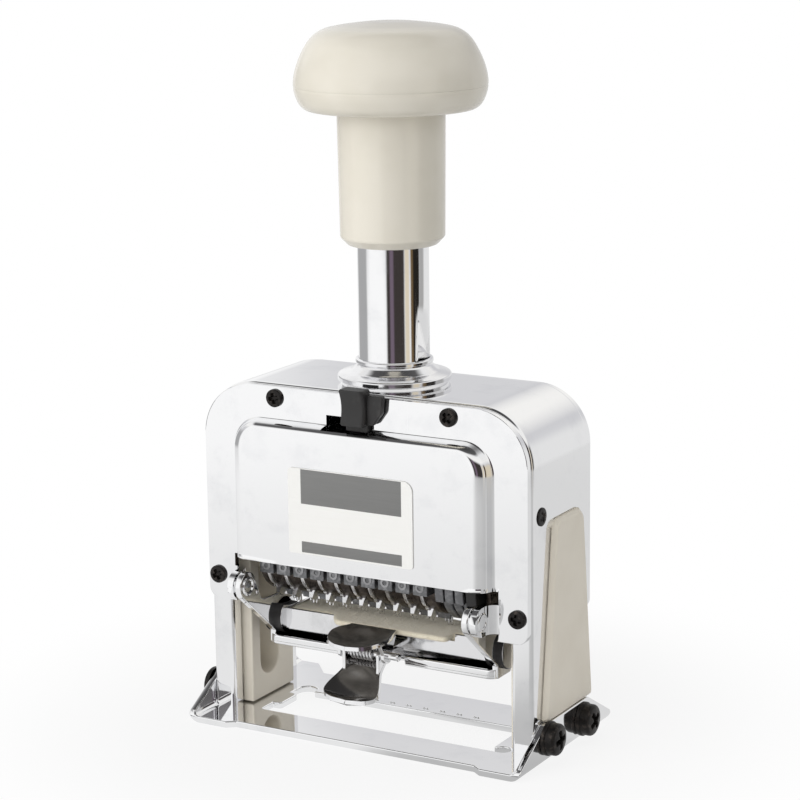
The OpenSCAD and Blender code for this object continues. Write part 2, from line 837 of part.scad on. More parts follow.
module axle_nuts() {
    color("dimgray") both_ends() difference() {
        along_x(head_plate_x + head_plate_t, nut_x)
            translate([axle_y, axle_z]) circle(axle_r + 2, $fn = 6);
        bar_x(axle_r, head_plate_x, nut_x + through, axle_y, axle_z);
    }
}

// Shoe on the axle's right end that slides in the guide's slot
module guide_shoe() {
    difference() {
        along_x(nut_x, inner_half_w - gap)
            rounded_2d([axle_y - shoe_half, shoe_z0], [axle_y + shoe_half, shoe_z1], shoe_half - eps);
        bar_x(axle_r, nut_x - through, axle_half_l, axle_y, axle_z);
    }
}

module guide_shoe_right() {
    color("darkkhaki") guide_shoe();
}

module guide_shoe_left() {
    color("darkkhaki") mirror([1, 0, 0]) guide_shoe();
}

// Spring steel comb whose leaves lie in the gaps between the wheels
module detent_comb() {
    leaf_t = 0.24;
    leaf_tip = ratchet_r + gap;
    color("lightsteelblue") {
        block([-head_plate_x, detent_y, bridge_z0 - 1.6], [head_plate_x, detent_y + 2.4, bridge_z0]);
        for (i = [0 : wheel_count - 1])
            translate([wheel_x(i) + wheel_pitch / 2 - leaf_t / 2, 0, 0]) difference() {
                block([0, detent_y - 5.6, bridge_z0 - 6.6], [leaf_t, detent_y + 1, bridge_z0 - 1.5]);
                bar_x(leaf_tip, -through, leaf_t + through, axle_y, axle_z);
                block([-through, detent_y - 6, bridge_z0 - 4.2], [leaf_t + through, detent_y, bridge_z0]);
            }
    }
}

module pawl_shaft() {
    color("silver") bar_x(pawl_shaft_r, -head_plate_x - head_plate_t, head_plate_x + head_plate_t,
                          pawl_y, pawl_z);
}

// Comb of feed pawls that swings on the pawl shaft behind the wheels
module feed_pawl_comb() {
    hub_r = pawl_shaft_r + 1.3;
    color("slategray") difference() {
        union() {
            bar_x(hub_r, -head_plate_x + gap, head_plate_x - gap, pawl_y, pawl_z);
            for (i = [0 : wheel_count - 1])
                along_x(wheel_x(i) - 1, wheel_x(i) + 1)
                    polygon([[pawl_y - hub_r + 0.4, pawl_z], [pawl_y + hub_r - 0.4, pawl_z],
                             [pawl_y + 1.6, pawl_z - 6], [pawl_y - 0.6, pawl_z - 12],
                             [pawl_y - 1.2, pawl_z - 12], [pawl_y - 0.6, pawl_z - 6]]);
        }
        bar_x(pawl_shaft_r + fit, -head_plate_x, head_plate_x, pawl_y, pawl_z);
    }
}

// ---- number wheels ----

function wheel_x(i) = first_wheel_x + wheel_pitch * i;

// One number wheel: hub, notched ratchet disc, nine standing blocks and the drawn-in zero
module number_wheel(i) {
    steps = 360 / wheel_step;
    hub_r = ratchet_r - 0.5;
    hub_half = (wheel_pitch - gap) / 2;
    color("dimgray") translate([wheel_x(i), axle_y, axle_z]) rotate([0, 90, 0]) difference() {
        union() {
            translate([0, 0, disc_w - hub_half]) cylinder(r = hub_r, h = 2 * hub_half - disc_w);
            difference() {
                translate([0, 0, -hub_half]) cylinder(r = ratchet_r, h = disc_w + eps);
                for (k = [0 : steps - 1])
                    rotate(k * wheel_step + wheel_step / 2)
                        translate([ratchet_r + 0.4, 0, -hub_half - through])
                            cylinder(r = 1, h = disc_w + through - eps);
            }
            intersection() {
                translate([0, 0, -block_w / 2]) cylinder(r = wheel_r, h = block_w);
                union() {
                    for (k = [blank_steps + 1 : steps - 1])
                        rotate(-k * wheel_step)
                            translate([hub_r - 1.5, -block_h / 2, -block_w / 2])
                                cube([wheel_r, block_h, block_w]);
                }
            }
            intersection() {
                translate([0, 0, -block_w / 2]) cylinder(r = ratchet_r, h = block_w);
                translate([hub_r - 1.5, -block_h / 2, -block_w / 2])
                    cube([wheel_r, block_h, block_w]);
            }
        }
        translate([0, 0, -hub_half - through])
            cylinder(r = axle_r + fit, h = 2 * (hub_half + through));
    }
}

module number_wheel_1() { number_wheel(0); }
module number_wheel_2() { number_wheel(1); }
module number_wheel_3() { number_wheel(2); }
module number_wheel_4() { number_wheel(3); }
module number_wheel_5() { number_wheel(4); }
module number_wheel_6() { number_wheel(5); }
module number_wheel_7() { number_wheel(6); }
module number_wheel_8() { number_wheel(7); }
module number_wheel_9() { number_wheel(8); }
module number_wheel_10() { number_wheel(9); }

// Three plain cam discs that count the repeats
module repeat_cams() {
    lobe_from = 74;
    lobe_to = 205;
    color("gray")
        for (i = [0 : cam_count - 1])
            translate([first_cam_x + cam_pitch * i, axle_y, axle_z]) rotate([0, 90, 0]) difference() {
                union() {
                    translate([0, 0, -cam_w / 2]) cylinder(r = ratchet_r, h = cam_w);
                    translate([0, 0, -cam_w / 2]) linear_extrude(cam_w)
                        intersection() {
                            circle(wheel_r);
                            polygon(concat([[0, 0]], [for (a = [lobe_from : (lobe_to - lobe_from) / 4
                                                                : lobe_to]) 2 * wheel_r
                                                                * [cos(a), -sin(a)]]));
                        }
                }
                translate([0, 0, -cam_w]) cylinder(r = axle_r + fit, h = 2 * cam_w);
            }
}

module cam_spacer() {
    spacer_x0 = first_cam_x + cam_pitch * (cam_count - 0.5) + 0.2;
    spacer_x1 = arm_in_x - gap;
    color("black") difference() {
        bar_x(wheel_r - 0.4, spacer_x0, spacer_x1, axle_y, axle_z);
        bar_x(axle_r + fit, spacer_x0 - through, spacer_x1 + through, axle_y, axle_z);
    }
}

// ---- ink tray ----

// Side arm of the tray: hinge eye, slanting front edge and the ring that holds the pad's boss
module tray_arm() {
    difference() {
        along_x(arm_in_x, tray_half_w) union() {
            translate([hinge_y, hinge_z]) circle(eye_r);
            translate([boss_y, boss_z]) circle(boss_r + 1.3);
            polygon([[hinge_y - 0.632 * eye_r, hinge_z - 0.775 * eye_r],
                     [tray_front_y + 1, tray_lip_top + 0.9],
                     [tray_front_y + 1, tray_floor_z],
                     [tray_rear_y, tray_floor_z], [boss_y + boss_r + 1.2, boss_z],
                     [boss_y, boss_z + boss_r + 1.3], [hinge_y + 5.5, boss_z + boss_r + 1.9],
                     [hinge_y + 0.8 * eye_r, hinge_z + 0.6 * eye_r]]);
        }
        bar_x(hinge_pin_r + fit, arm_in_x - through, tray_half_w + through, hinge_y, hinge_z);
    }
}

// Sheet tray: two arms joined by a narrow floor with an upturned front lip
module ink_tray() {
    floor_t = 1.1;
    corner = 2.4;
    color("silver") difference() {
        union() {
            both_ends() tray_arm();
            translate([0, 0, tray_floor_z]) linear_extrude(floor_t)
                tray_plan(corner, 0);
            translate([0, 0, tray_floor_z]) linear_extrude(tray_lip_top - tray_floor_z) difference() {
                tray_plan(corner, 0);
                tray_plan(corner, floor_t);
            }
        }
        block([finger_x - 7.2, tray_front_y - through, tray_floor_z - through],
              [finger_x + 7.4, tray_front_y + 2.6, tray_lip_top + through]);
        bar_x(boss_r + gap, -tray_half_w - through, tray_half_w + through, boss_y, boss_z);
    }
}

// Plan of the tray's floor with its two front corners rounded, drawn in by inset
module tray_plan(corner, inset) {
    half_w = tray_half_w - eps - inset;
    front = tray_front_y + inset;
    corner_in = corner - inset;
    translate([-half_w, front + corner_in]) square([2 * half_w, tray_rear_y - front - corner_in]);
    translate([-half_w + corner_in, front]) square([2 * (half_w - corner_in), corner_in + eps]);
    for (side = [-1, 1])
        translate([side * (half_w - corner_in), front + corner_in]) circle(corner_in);
}

module tray_hinge_pins() {
    color("gray") both_ends() difference() {
        bar_x(hinge_pin_r, arm_in_x - 0.4, eye_x + eye_t + 0.3, hinge_y, hinge_z);
        bar_x(hinge_pin_r - 0.8, arm_in_x - 0.4 - through, arm_in_x + 1.4, hinge_y, hinge_z);
    }
}

// Sheet dish that carries the felt, with a deeper keel that sits on the tray's floor
module pad_holder() {
    keel_z = tray_floor_z + 1.1;
    keel_in = 1.5;
    color("whitesmoke") difference() {
        union() {
            block([-holder_half_w, holder_y0, holder_z0], [holder_half_w, holder_y1, pad_z - 0.2]);
            block([-holder_half_w, holder_y0 + keel_in, keel_z],
                  [holder_half_w, holder_y1 - keel_in, holder_z0 + eps]);
        }
        block([-holder_half_w + holder_t, holder_y0 + holder_t, pad_z - pad_t - 0.1],
              [holder_half_w - holder_t, holder_y1 - holder_t, pad_z + through]);
        block([tongue_x0 - gap, holder_y0 - through, tongue_z0 - gap],
              [tongue_x1 + gap, holder_y0 + holder_t + eps, pad_z + through]);
        block([finger_x - finger_neck_half, holder_y0 - through, keel_z - through],
              [finger_x + finger_neck_half, holder_y0 + finger_seat, holder_z0 + finger_t]);
    }
}

module pad_end_bosses() {
    color("black") both_ends() difference() {
        bar_x(boss_r, holder_half_w, tray_half_w + 1.2, boss_y, boss_z);
        bar_x(wheel_r + gap, holder_half_w - through, arm_in_x, axle_y, axle_z);
    }
}

// Ink pad of felt with a tongue over the holder's front wall
module felt_pad() {
    color("bisque") {
        block([-felt_half_w, holder_y0 + holder_t + 0.1, pad_z - pad_t],
              [felt_half_w, holder_y1 - holder_t - 0.1, pad_z]);
        along_x(tongue_x0, tongue_x1)
            polygon([[holder_y0 + holder_t + 0.3, tongue_z0], [holder_y0 + holder_t + 0.3, pad_z],
                     [holder_y0 - 1, pad_z - 0.1], [holder_y0 - tongue_y, pad_z - 0.5],
                     [holder_y0 - tongue_y, tongue_z0], [holder_y0, tongue_z0]]);
    }
}

// Fixed finger plate: neck under the felt, riser, dished spoon and two ears for the lever pin
module finger_plate() {
    ear_in = 5.2;
    ear_out = 6.2;
    neck_y = holder_y0 - tongue_y - 0.3;
    color("silver") difference() {
        union() {
            block([finger_x - finger_neck_half, neck_y - finger_t, holder_z0],
                  [finger_x + finger_neck_half, holder_y0 + finger_seat, holder_z0 + finger_t]);
            block([finger_x - finger_neck_half, neck_y - finger_t, holder_z0],
                  [finger_x + finger_neck_half, neck_y, spoon_z]);
            translate([finger_x, neck_y, spoon_z]) rotate([finger_tilt, 0, 0])
                spoon_plate();
            for (side = [-1, 1])
                translate([finger_x, 0, 0]) along_x(side > 0 ? ear_in : -ear_out,
                                                    side > 0 ? ear_out : -ear_in)
                    union() {
                        translate([pivot_y, pivot_z]) circle(1.9);
                        polygon([[pivot_y - 1.9, pivot_z], [pivot_y + 1.9, pivot_z],
                                 [neck_y - 0.6, spoon_z - 0.9], [pivot_y - 3.5, spoon_z - 1]]);
                    }
        }
        bar_x(lever_pin_r, finger_x - ear_out - through, finger_x + ear_out + through,
              pivot_y, pivot_z);
    }
}

// Spoon of the finger plate: narrow at the felt, broad and rounded at the front
module spoon_plate() {
    back_half = finger_neck_half + 0.6;
    side_y = -8.4;
    translate([0, 0, -finger_t]) linear_extrude(finger_t) {
        polygon([[-back_half, 0], [back_half, 0], [finger_half_w - 0.3, side_y + 1.6],
                 [0, side_y - 1], [-finger_half_w + 0.3, side_y + 1.6]]);
        for (side = [-1, 1])
            translate([side * (finger_half_w - 2.8), side_y]) circle(2.8);
        translate([-finger_half_w + 2.8, side_y - 2.8])
            square([2 * (finger_half_w - 2.8), 4]);
        intersection() {
            translate([0, side_y + 3.6]) circle(7.9);
            translate([-finger_half_w, side_y - 2 * finger_half_w])
                square(2 * finger_half_w);
        }
    }
}

// Lower finger lever with its two ears on the pin
module release_lever() {
    ear_in = 4;
    ear_out = 4.8;
    plate_t = 0.9;
    drop = 1.9;
    color("silver") difference() {
        union() {
            translate([finger_x, pivot_y, pivot_z]) rotate([lever_slant, 0, 0])
                translate([0, 0, -drop - plate_t]) linear_extrude(plate_t) lever_outline(ear_out);
            for (side = [-1, 1])
                translate([finger_x, pivot_y, pivot_z]) rotate([lever_slant, 0, 0])
                    along_x(side > 0 ? ear_in : -ear_out, side > 0 ? ear_out : -ear_in)
                        union() {
                            circle(1.7);
                            translate([-4.6, -drop - eps]) square([6.2, drop]);
                        }
        }
        bar_x(lever_pin_r + fit, finger_x - ear_out - through, finger_x + ear_out + through,
              pivot_y, pivot_z);
    }
}

// Outline of the lower lever in its own plane: a neck that flares to a broad rounded end
module lever_outline(neck_half) {
    hull() {
        for (side = [-1, 1])
            translate([side * (finger_half_w - 3.2), -10.6]) circle(2.8, $fn = 32);
        translate([0, -8]) circle(5.7, $fn = 32);
        translate([-neck_half, -4.4]) square([2 * neck_half, 0.4]);
    }
    translate([-neck_half, -4.4]) square([2 * neck_half, 6]);
}

module lever_pin() {
    color("gray") bar_x(lever_pin_r, finger_x - 6.8, finger_x + 9, pivot_y, pivot_z);
}

// Envelope of the torsion spring's coils around the lever pin
module lever_spring() {
    color("silver") difference() {
        bar_x(1.6, finger_x - 3.6, finger_x + 3.6, pivot_y, pivot_z);
        bar_x(lever_pin_r + 0.2, finger_x - 4.6, finger_x + 4.6, pivot_y, pivot_z);
    }
}

// ---- action selector on the back ----

module action_lever() {
    color("black") difference() {
        union() {
            bar_y(4.2, panel_out + gap, panel_out + 2.6, 0, action_z);
            along_y(panel_out + gap, panel_out + 1.7)
                polygon([[-2.4, action_z], [-1, action_z + 11], [0, action_z + 12.4],
                         [1, action_z + 11], [2.4, action_z]]);
        }
        bar_y(pivot_hole_r + fit, panel_out, panel_out + 3 + through, 0, action_z);
    }
}

module action_pivot() {
    color("gray") {
        bar_y(pivot_hole_r, band_half + 1, panel_out + 2.6 + gap, 0, action_z);
        bar_y(pivot_hole_r + 1.2, panel_out + 2.6 + gap, panel_out + 3.8, 0, action_z);
    }
}

// Values that the later modules share
head_plate_r = 9.6;
axle_half_l = 38;
nut_x = head_plate_x + head_plate_t + 1.6;
shoe_z0 = slot_z0 + stroke + 0.5;
shoe_z1 = axle_z + 6;
tongue_z0 = pad_z - 1.4;
action_z = 56;
pivot_hole_r = 1.4;

frame_band();
front_cover();
back_cover();
name_plate();
front_cover_screws();
back_cover_screws();
side_screws();
base_plate();
base_screws_left();
base_screws_right();
side_guide_left();
side_guide_right();
top_collar();
collar_nut();
lock_lever();
lock_slide();
spring_seat_bar();
spring_guide_rod();
main_spring();
plunger_tube();
tube_plug();
tube_nut();
handle_sleeve();
knob_lower();
knob_upper();
head_bridge();
head_plate_left();
head_plate_right();
head_screws();
wheel_axle();
axle_nuts();
guide_shoe_left();
guide_shoe_right();
detent_comb();
pawl_shaft();
feed_pawl_comb();
number_wheel_1();
number_wheel_2();
number_wheel_3();
number_wheel_4();
number_wheel_5();
number_wheel_6();
number_wheel_7();
number_wheel_8();
number_wheel_9();
number_wheel_10();
repeat_cams();
cam_spacer();
ink_tray();
tray_hinge_pins();
pad_holder();
pad_end_bosses();
felt_pad();
finger_plate();
release_lever();
lever_pin();
lever_spring();
action_lever();
action_pivot();
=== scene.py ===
"""Looks of a hand numbering machine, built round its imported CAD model.

Shapes are worked out in millimetres in the machine's own frame: X runs along the wheel axle,
Y runs backwards and Z is up from the paper. They are scaled to metres when a mesh is made.
"""
import json
import logging
import math
from dataclasses import dataclass
from enum import Enum
from typing import Iterable, Optional, Sequence, Union

import bmesh
import bpy
import numpy as np
from mathutils import Matrix


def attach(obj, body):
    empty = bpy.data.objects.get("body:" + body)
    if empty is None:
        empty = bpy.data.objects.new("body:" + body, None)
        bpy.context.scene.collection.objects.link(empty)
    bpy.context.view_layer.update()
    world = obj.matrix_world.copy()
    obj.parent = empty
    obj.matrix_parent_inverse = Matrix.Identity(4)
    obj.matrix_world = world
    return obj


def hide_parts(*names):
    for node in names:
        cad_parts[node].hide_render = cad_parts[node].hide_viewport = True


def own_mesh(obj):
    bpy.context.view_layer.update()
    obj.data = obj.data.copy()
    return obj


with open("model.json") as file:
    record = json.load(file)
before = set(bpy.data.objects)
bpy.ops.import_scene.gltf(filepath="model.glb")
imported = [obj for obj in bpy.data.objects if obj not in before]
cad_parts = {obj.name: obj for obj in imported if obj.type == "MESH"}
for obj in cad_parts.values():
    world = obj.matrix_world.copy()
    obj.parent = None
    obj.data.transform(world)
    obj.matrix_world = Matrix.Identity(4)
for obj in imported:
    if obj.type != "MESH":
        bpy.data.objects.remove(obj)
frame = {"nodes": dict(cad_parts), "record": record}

Array = np.ndarray
Piece = bpy.types.Object
Point = Sequence[float]
Corners = Sequence[Point]
Value = Union["Signal", float, int]
MM = 0.001
SEAM_MERGE = 2e-6  # metres within which the points of a seam or a pole are made one
CAD_MERGE = 3e-6  # the same, for the loose triangles of a CAD node
FLAT_DEGREES = 0.4  # faces of a CAD node that differ by less are one flat
WHITE = (1.0, 1.0, 1.0)
BLANK = (0.0, 0.0, 0.0)
log = logging.getLogger("numbering_machine")


# ---------------------------------------------------------------- shader maths


class Signal:
    """A shader socket that takes part in arithmetic: each operator adds a Math node."""

    def __init__(self, graph: "Graph", socket: bpy.types.NodeSocket) -> None:
        """Keep the graph and the socket that carries the value."""
        self.graph = graph
        self.socket = socket

    def __add__(self, other: Value) -> "Signal":
        """Sum."""
        return self.graph.math("ADD", self, other)

    __radd__ = __add__

    def __sub__(self, other: Value) -> "Signal":
        """Difference."""
        return self.graph.math("SUBTRACT", self, other)

    def __rsub__(self, other: Value) -> "Signal":
        """Difference from a plain number."""
        return self.graph.math("SUBTRACT", other, self)

    def __mul__(self, other: Value) -> "Signal":
        """Product."""
        return self.graph.math("MULTIPLY", self, other)

    __rmul__ = __mul__

    def __truediv__(self, other: Value) -> "Signal":
        """Quotient."""
        return self.graph.math("DIVIDE", self, other)

    def __rtruediv__(self, other: Value) -> "Signal":
        """Quotient under a plain number."""
        return self.graph.math("DIVIDE", other, self)

    def step(self, low: float, high: float) -> "Signal":
        """Smooth rise from 0 at low to 1 at high."""
        ends = {"Value": self, "From Min": low, "From Max": high}
        return self.graph.value("ShaderNodeMapRange", {"interpolation_type": "SMOOTHSTEP"}, ends)

    def near(self, centre: float, half: float, soft: float) -> "Signal":
        """1 within half of centre, falling smoothly to 0 over soft outside it."""
        away = self.graph.math("ABSOLUTE", self - centre)
        return 1 - away.step(half, half + soft)


class Graph:
    """The node tree of a material or of the world."""

    def __init__(self, owner: Union[bpy.types.Material, bpy.types.World]) -> None:
        """Start from nothing in the tree of a material or the world.

        Args:
            owner: the material or the world.
        """
        owner.use_nodes = True
        self.tree = owner.node_tree
        self.tree.nodes.clear()

    def node(
        self, kind: str, settings: Optional[dict] = None, inputs: Optional[dict] = None
    ) -> bpy.types.Node:
        """Add one node.

        Args:
            kind: the node's type.
            settings: its properties, set first; "stops" fills a colour ramp.
            inputs: value or Signal of each input, by name or number.

        Returns:
            The node.
        """
        node = self.tree.nodes.new(kind)
        for key, value in (settings or {}).items():
            if key == "stops":
                ramp = node.color_ramp
                while len(ramp.elements) < len(value):
                    ramp.elements.new(1.0)
                for element, (place, colour) in zip(ramp.elements, value):
                    element.position = place
                    element.color = (*colour, 1.0)
            else:
                setattr(node, key, value)
        for key, value in (inputs or {}).items():
            if isinstance(value, Signal):
                self.tree.links.new(value.socket, node.inputs[key])
            else:
                node.inputs[key].default_value = value
        return node

    def value(
        self, kind: str, settings: Optional[dict] = None, inputs: Optional[dict] = None,
        output: Union[int, str] = 0,
    ) -> Signal:
        """One output of a new node, whose other arguments are those of node."""
        return Signal(self, self.node(kind, settings, inputs).outputs[output])

    def math(self, operation: str, *values: Value) -> Signal:
        """Result of one Math node."""
        return self.value("ShaderNodeMath", {"operation": operation}, dict(enumerate(values)))

    def ray(self, kind: str) -> Signal:
        """1 for a kind of ray, such as Camera or Glossy, and 0 for others."""
        return self.value("ShaderNodeLightPath", output=f"Is {kind} Ray")

    def place(self, stretch: Point = (1, 1, 1), turn: float = 0.0) -> Signal:
        """Object coordinates, stretched, and turned about Z by turn degrees.

        Args:
            stretch: scale along each axis.
            turn: turn about Z, in degrees.

        Returns:
            The coordinates.
        """
        coords = self.value("ShaderNodeTexCoord", output="Object")
        inputs = {"Vector": coords, "Scale": stretch, "Rotation": (0, 0, math.radians(turn))}
        return self.value("ShaderNodeMapping", {"vector_type": "POINT"}, inputs)

    def parts(self, vector: Signal) -> list[Signal]:
        """The three components of a vector."""
        node = self.node("ShaderNodeSeparateXYZ", None, {0: vector})
        return [Signal(self, out) for out in node.outputs]

    def noise(
        self, size_mm: float, detail: float = 2.0, rough: float = 0.5, stretch: Point = (1, 1, 1),
        turn: float = 0.0,
    ) -> Signal:
        """Noise between 0 and 1.

        Args:
            size_mm: how far its features are across.
            detail: number of finer layers.
            rough: strength of each finer layer.
            stretch: scale along each axis; a small one draws the features out.
            turn: turn about Z, in degrees.

        Returns:
            The noise.
        """
        inputs = {
            "Vector": self.place(stretch, turn),
            "Scale": 1 / (size_mm * MM),
            "Detail": detail,
            "Roughness": rough,
        }
        return self.value("ShaderNodeTexNoise", None, inputs)

    def blend(self, factor: Value, first: object, second: object) -> Signal:
        """Colour that goes from first to second as factor goes from 0 to 1."""
        inputs = {0: factor, 6: self.colour(first), 7: self.colour(second)}
        return self.value("ShaderNodeMix", {"data_type": "RGBA"}, inputs, 2)

    @staticmethod
    def colour(value: object) -> object:
        """A colour with its alpha, or the Signal as it is."""
        return value if isinstance(value, Signal) else (*value, 1.0)

    def bump(self, height: Signal, depth_mm: float, under: Optional[Signal] = None) -> Signal:
        """Normal bent by a height field that is depth_mm deep, over another normal if given.

        Args:
            height: the height field, from 0 to 1.
            depth_mm: its depth.
            under: a normal that it lies over.

        Returns:
            The bent normal.
        """
        inputs = {"Height": height, "Strength": 1.0, "Distance": depth_mm * MM}
        if under is not None:
            inputs["Normal"] = under
        return self.value("ShaderNodeBump", None, inputs)

    def shade(self, **sockets: object) -> None:
        """Finish the tree with one Principled shader; underscores stand for spaces.

        Args:
            sockets: value or Signal of each input of the shader.
        """
        inputs = {
            key.replace("_", " "): (*v, 1.0) if isinstance(v, tuple) and len(v) == 3 else v
            for key, v in sockets.items()
        }
        shader = self.value("ShaderNodeBsdfPrincipled", None, inputs)
        self.node("ShaderNodeOutputMaterial", None, {0: shader})


# ---------------------------------------------------------------- finishes


@dataclass(frozen=True)
class Finish:
    """A finish of the machine, with the record's material slot that it belongs to."""

    name: str
    slot: str

    def paint(self, graph: Graph) -> None:
        """Fill the material's tree.

        Args:
            graph: the material's graph, still empty.
        """
        raise NotImplementedError

    def make(self) -> bpy.types.Material:
        """The finished material.

        Returns:
            The material.
        """
        material = bpy.data.materials.new(self.name)
        self.paint(Graph(material))
        return material


@dataclass(frozen=True)
class ChromePlate(Finish):
    """Mirror chrome on pressed sheet: faintly wavy, with smears and hairline scratches."""

    light: tuple = (0.93, 0.932, 0.938)
    dull: tuple = (0.84, 0.845, 0.86)
    rough: float = 0.045
    wave_mm: float = 0.011

    def paint(self, graph: Graph) -> None:
        """Smears vary tone and roughness; waves and scratches bend the normal."""
        smear = graph.noise(9, 4, 0.6).step(0.5, 0.72)
        hair = graph.noise(1.4, 3, 0.7, (1, 1, 0.05), 20).step(0.64, 0.74)
        cross = graph.noise(1.1, 3, 0.7, (0.06, 1, 1), -35).step(0.68, 0.76)
        waves = graph.bump(graph.noise(21, 1, 0.4), self.wave_mm)
        peel = graph.bump(graph.noise(0.7, 2, 0.5), 0.0003, waves)
        lines = graph.bump(hair + cross, 0.0006, peel)
        graph.shade(
            Base_Color=graph.blend(smear * 0.6, self.light, self.dull),
            Metallic=1.0,
            Roughness=self.rough + smear * 0.05 + (hair + cross) * 0.07,
            Normal=lines,
        )


@dataclass(frozen=True)
class RubbedSurface(Finish):
    """Metal or moulding with rubbed patches over a fine grain; plain ground steel as it stands.

    patch holds size in mm, detail, roughness, and the noise where a patch begins and is full;
    grain holds size in mm, detail, roughness and stretch. patch_rough and grain_rough say how
    much either adds to the roughness.
    """

    tone: tuple = (0.56, 0.565, 0.575)
    rubbed: tuple = (0.36, 0.36, 0.365)
    metal: float = 1.0
    rough: float = 0.27
    patch: tuple = (5, 4, 0.6, 0.4, 0.7)
    grain: tuple = (0.35, 3, 0.7, (0.06, 1, 1))
    patch_rough: float = 0.12
    grain_rough: float = 0.08
    depth_mm: float = 0.006

    def paint(self, graph: Graph) -> None:
        """Patches vary tone and roughness; the grain bends the normal."""
        *clouds, low, high = self.patch
        patch, grain = graph.noise(*clouds).step(low, high), graph.noise(*self.grain)
        graph.shade(
            Base_Color=graph.blend(patch, self.tone, self.rubbed),
            Metallic=self.metal,
            Roughness=self.rough + patch * self.patch_rough + grain * self.grain_rough,
            Normal=graph.bump(grain, self.depth_mm),
        )


@dataclass(frozen=True)
class GlossMoulding(Finish):
    """Glossy moulded plastic: faint flow clouds, an even sheen and a few scuffs."""

    body: tuple = (0.8, 0.757, 0.66)
    cloud: tuple = (0.765, 0.722, 0.62)
    rough: float = 0.13
    grain_mm: float = 0.0012

    def paint(self, graph: Graph) -> None:
        """Clouds vary the colour, scuffs the roughness and the skin the normal."""
        clouds = graph.noise(14, 3, 0.55)
        specks = graph.noise(0.9, 2, 0.6).step(0.74, 0.8)
        scuffs = graph.noise(2.2, 4, 0.65, (1, 1, 0.15), 30).step(0.6, 0.78)
        skin = graph.bump(graph.noise(1.6, 2, 0.5), self.grain_mm)
        fine = graph.bump(graph.noise(0.25, 2, 0.5), self.grain_mm * 0.2, skin)
        tone = graph.blend(clouds.step(0.35, 0.7), self.body, self.cloud)
        graph.shade(
            Base_Color=graph.blend(specks * 0.12, tone, (0.35, 0.31, 0.25)),
            Roughness=self.rough + clouds * 0.06 + scuffs * 0.12,
            Specular_IOR_Level=0.5,
            Normal=fine,
        )


@dataclass(frozen=True)
class WoolFelt(Finish):
    """Undyed pressed wool felt: fibres, small pits and faint stains."""

    def paint(self, graph: Graph) -> None:
        """Fibres vary tone; pits darken it as painted shade in the hollows; both bend the normal;
        the sheen is constant.
        """
        fibre = graph.noise(0.28, 4, 0.75, (1, 0.35, 1), 35)
        across = graph.noise(0.3, 4, 0.75, (0.4, 1, 1), -20)
        shaded_pits = graph.noise(0.6, 3, 0.6).step(0.58, 0.76)
        stain = graph.noise(7, 3, 0.6).step(0.42, 0.75)
        wool = graph.blend(fibre.step(0.3, 0.7), (0.98, 0.92, 0.76), (0.9, 0.81, 0.62))
        # Pits darken the wool where they dip: painted shade in the hollows.
        wool = graph.blend(shaded_pits * 0.4, wool, (0.62, 0.52, 0.36))
        wool = graph.blend(stain * 0.25, wool, (0.74, 0.63, 0.44))
        graph.shade(
            Base_Color=wool,
            Roughness=0.95,
            Sheen_Weight=1.0,
            Sheen_Roughness=0.45,
            Sheen_Tint=(1.0, 0.96, 0.86),
            Specular_IOR_Level=0.2,
            Normal=graph.bump(fibre + across - shaded_pits, 0.12),
        )


@dataclass(frozen=True)
class FoilPlate(Finish):
    """Satin foil of the name plate, either its pale ground or its grey printed bands."""

    tone: tuple = (0.93, 0.925, 0.9)
    shade_tone: tuple = (0.88, 0.872, 0.84)
    metal: float = 0.0

    def paint(self, graph: Graph) -> None:
        """Brushed grain varies tone and roughness."""
        brush = graph.noise(0.5, 3, 0.7, (0.04, 1, 1))
        cloud = graph.noise(6, 3, 0.6)
        graph.shade(
            Base_Color=graph.blend(brush * 0.7 + cloud * 0.3, self.tone, self.shade_tone),
            Metallic=self.metal,
            Roughness=0.34 + brush * 0.16,
            Normal=graph.bump(brush, 0.002),
        )


CHROME = ChromePlate("mirror_chrome", "chrome")
CALM_CHROME = ChromePlate("turned_chrome", "chrome", rough=0.075, wave_mm=0.003)
# Chrome darkened to a third for the release lever: painted dark reflection of the room it mirrors.
LEVER_CHROME_PAINTED_DARK = ChromePlate(
    "lever_chrome_painted_dark", "chrome", light=(0.34, 0.33, 0.32), dull=(0.2, 0.19, 0.183), rough=0.12
)
# Also put on the cut edges of the finger levers, where it is a painted highlight along the rims.
SCUFFED_AND_RIM_HIGHLIGHT_CHROME = ChromePlate(
    "scuffed_and_rim_highlight_chrome", "chrome", light=(0.86, 0.86, 0.87), dull=(0.7, 0.7, 0.71), rough=0.11
)
# Near-black chrome for the film in the tray's channel: painted shadow.
SHADOW_PAINTED_CHROME = ChromePlate(
    "painted_shadow_chrome", "chrome", light=(0.07, 0.062, 0.058), dull=(0.035, 0.03, 0.028), rough=0.2
)
WORN_NICKEL = RubbedSurface(
    "worn_nickel", "chrome", (0.5, 0.48, 0.45), (0.25, 0.24, 0.225), rough=0.36
)
STEEL = RubbedSurface("ground_steel", "steel")
BRIGHT_STEEL = RubbedSurface(
    "polished_steel", "steel", (0.8, 0.8, 0.81), (0.66, 0.66, 0.67), rough=0.1
)
RUBBED_STEEL = RubbedSurface(
    "rubbed_steel", "wheel_steel", (0.74, 0.73, 0.725), (0.6, 0.59, 0.585), rough=0.2
)
FIGURE_STEEL = RubbedSurface(
    "figure_steel", "wheel_steel", (0.42, 0.42, 0.43), (0.28, 0.28, 0.285), rough=0.3
)
BROWNED = RubbedSurface(
    "browned_steel", "wheel_steel", (0.06, 0.048, 0.04), (0.15, 0.125, 0.105), 0.85, 0.24,
    patch=(2.6, 4, 0.6, 0.46, 0.74), grain=(0.3, 3, 0.65, (1, 0.4, 0.4)),
)
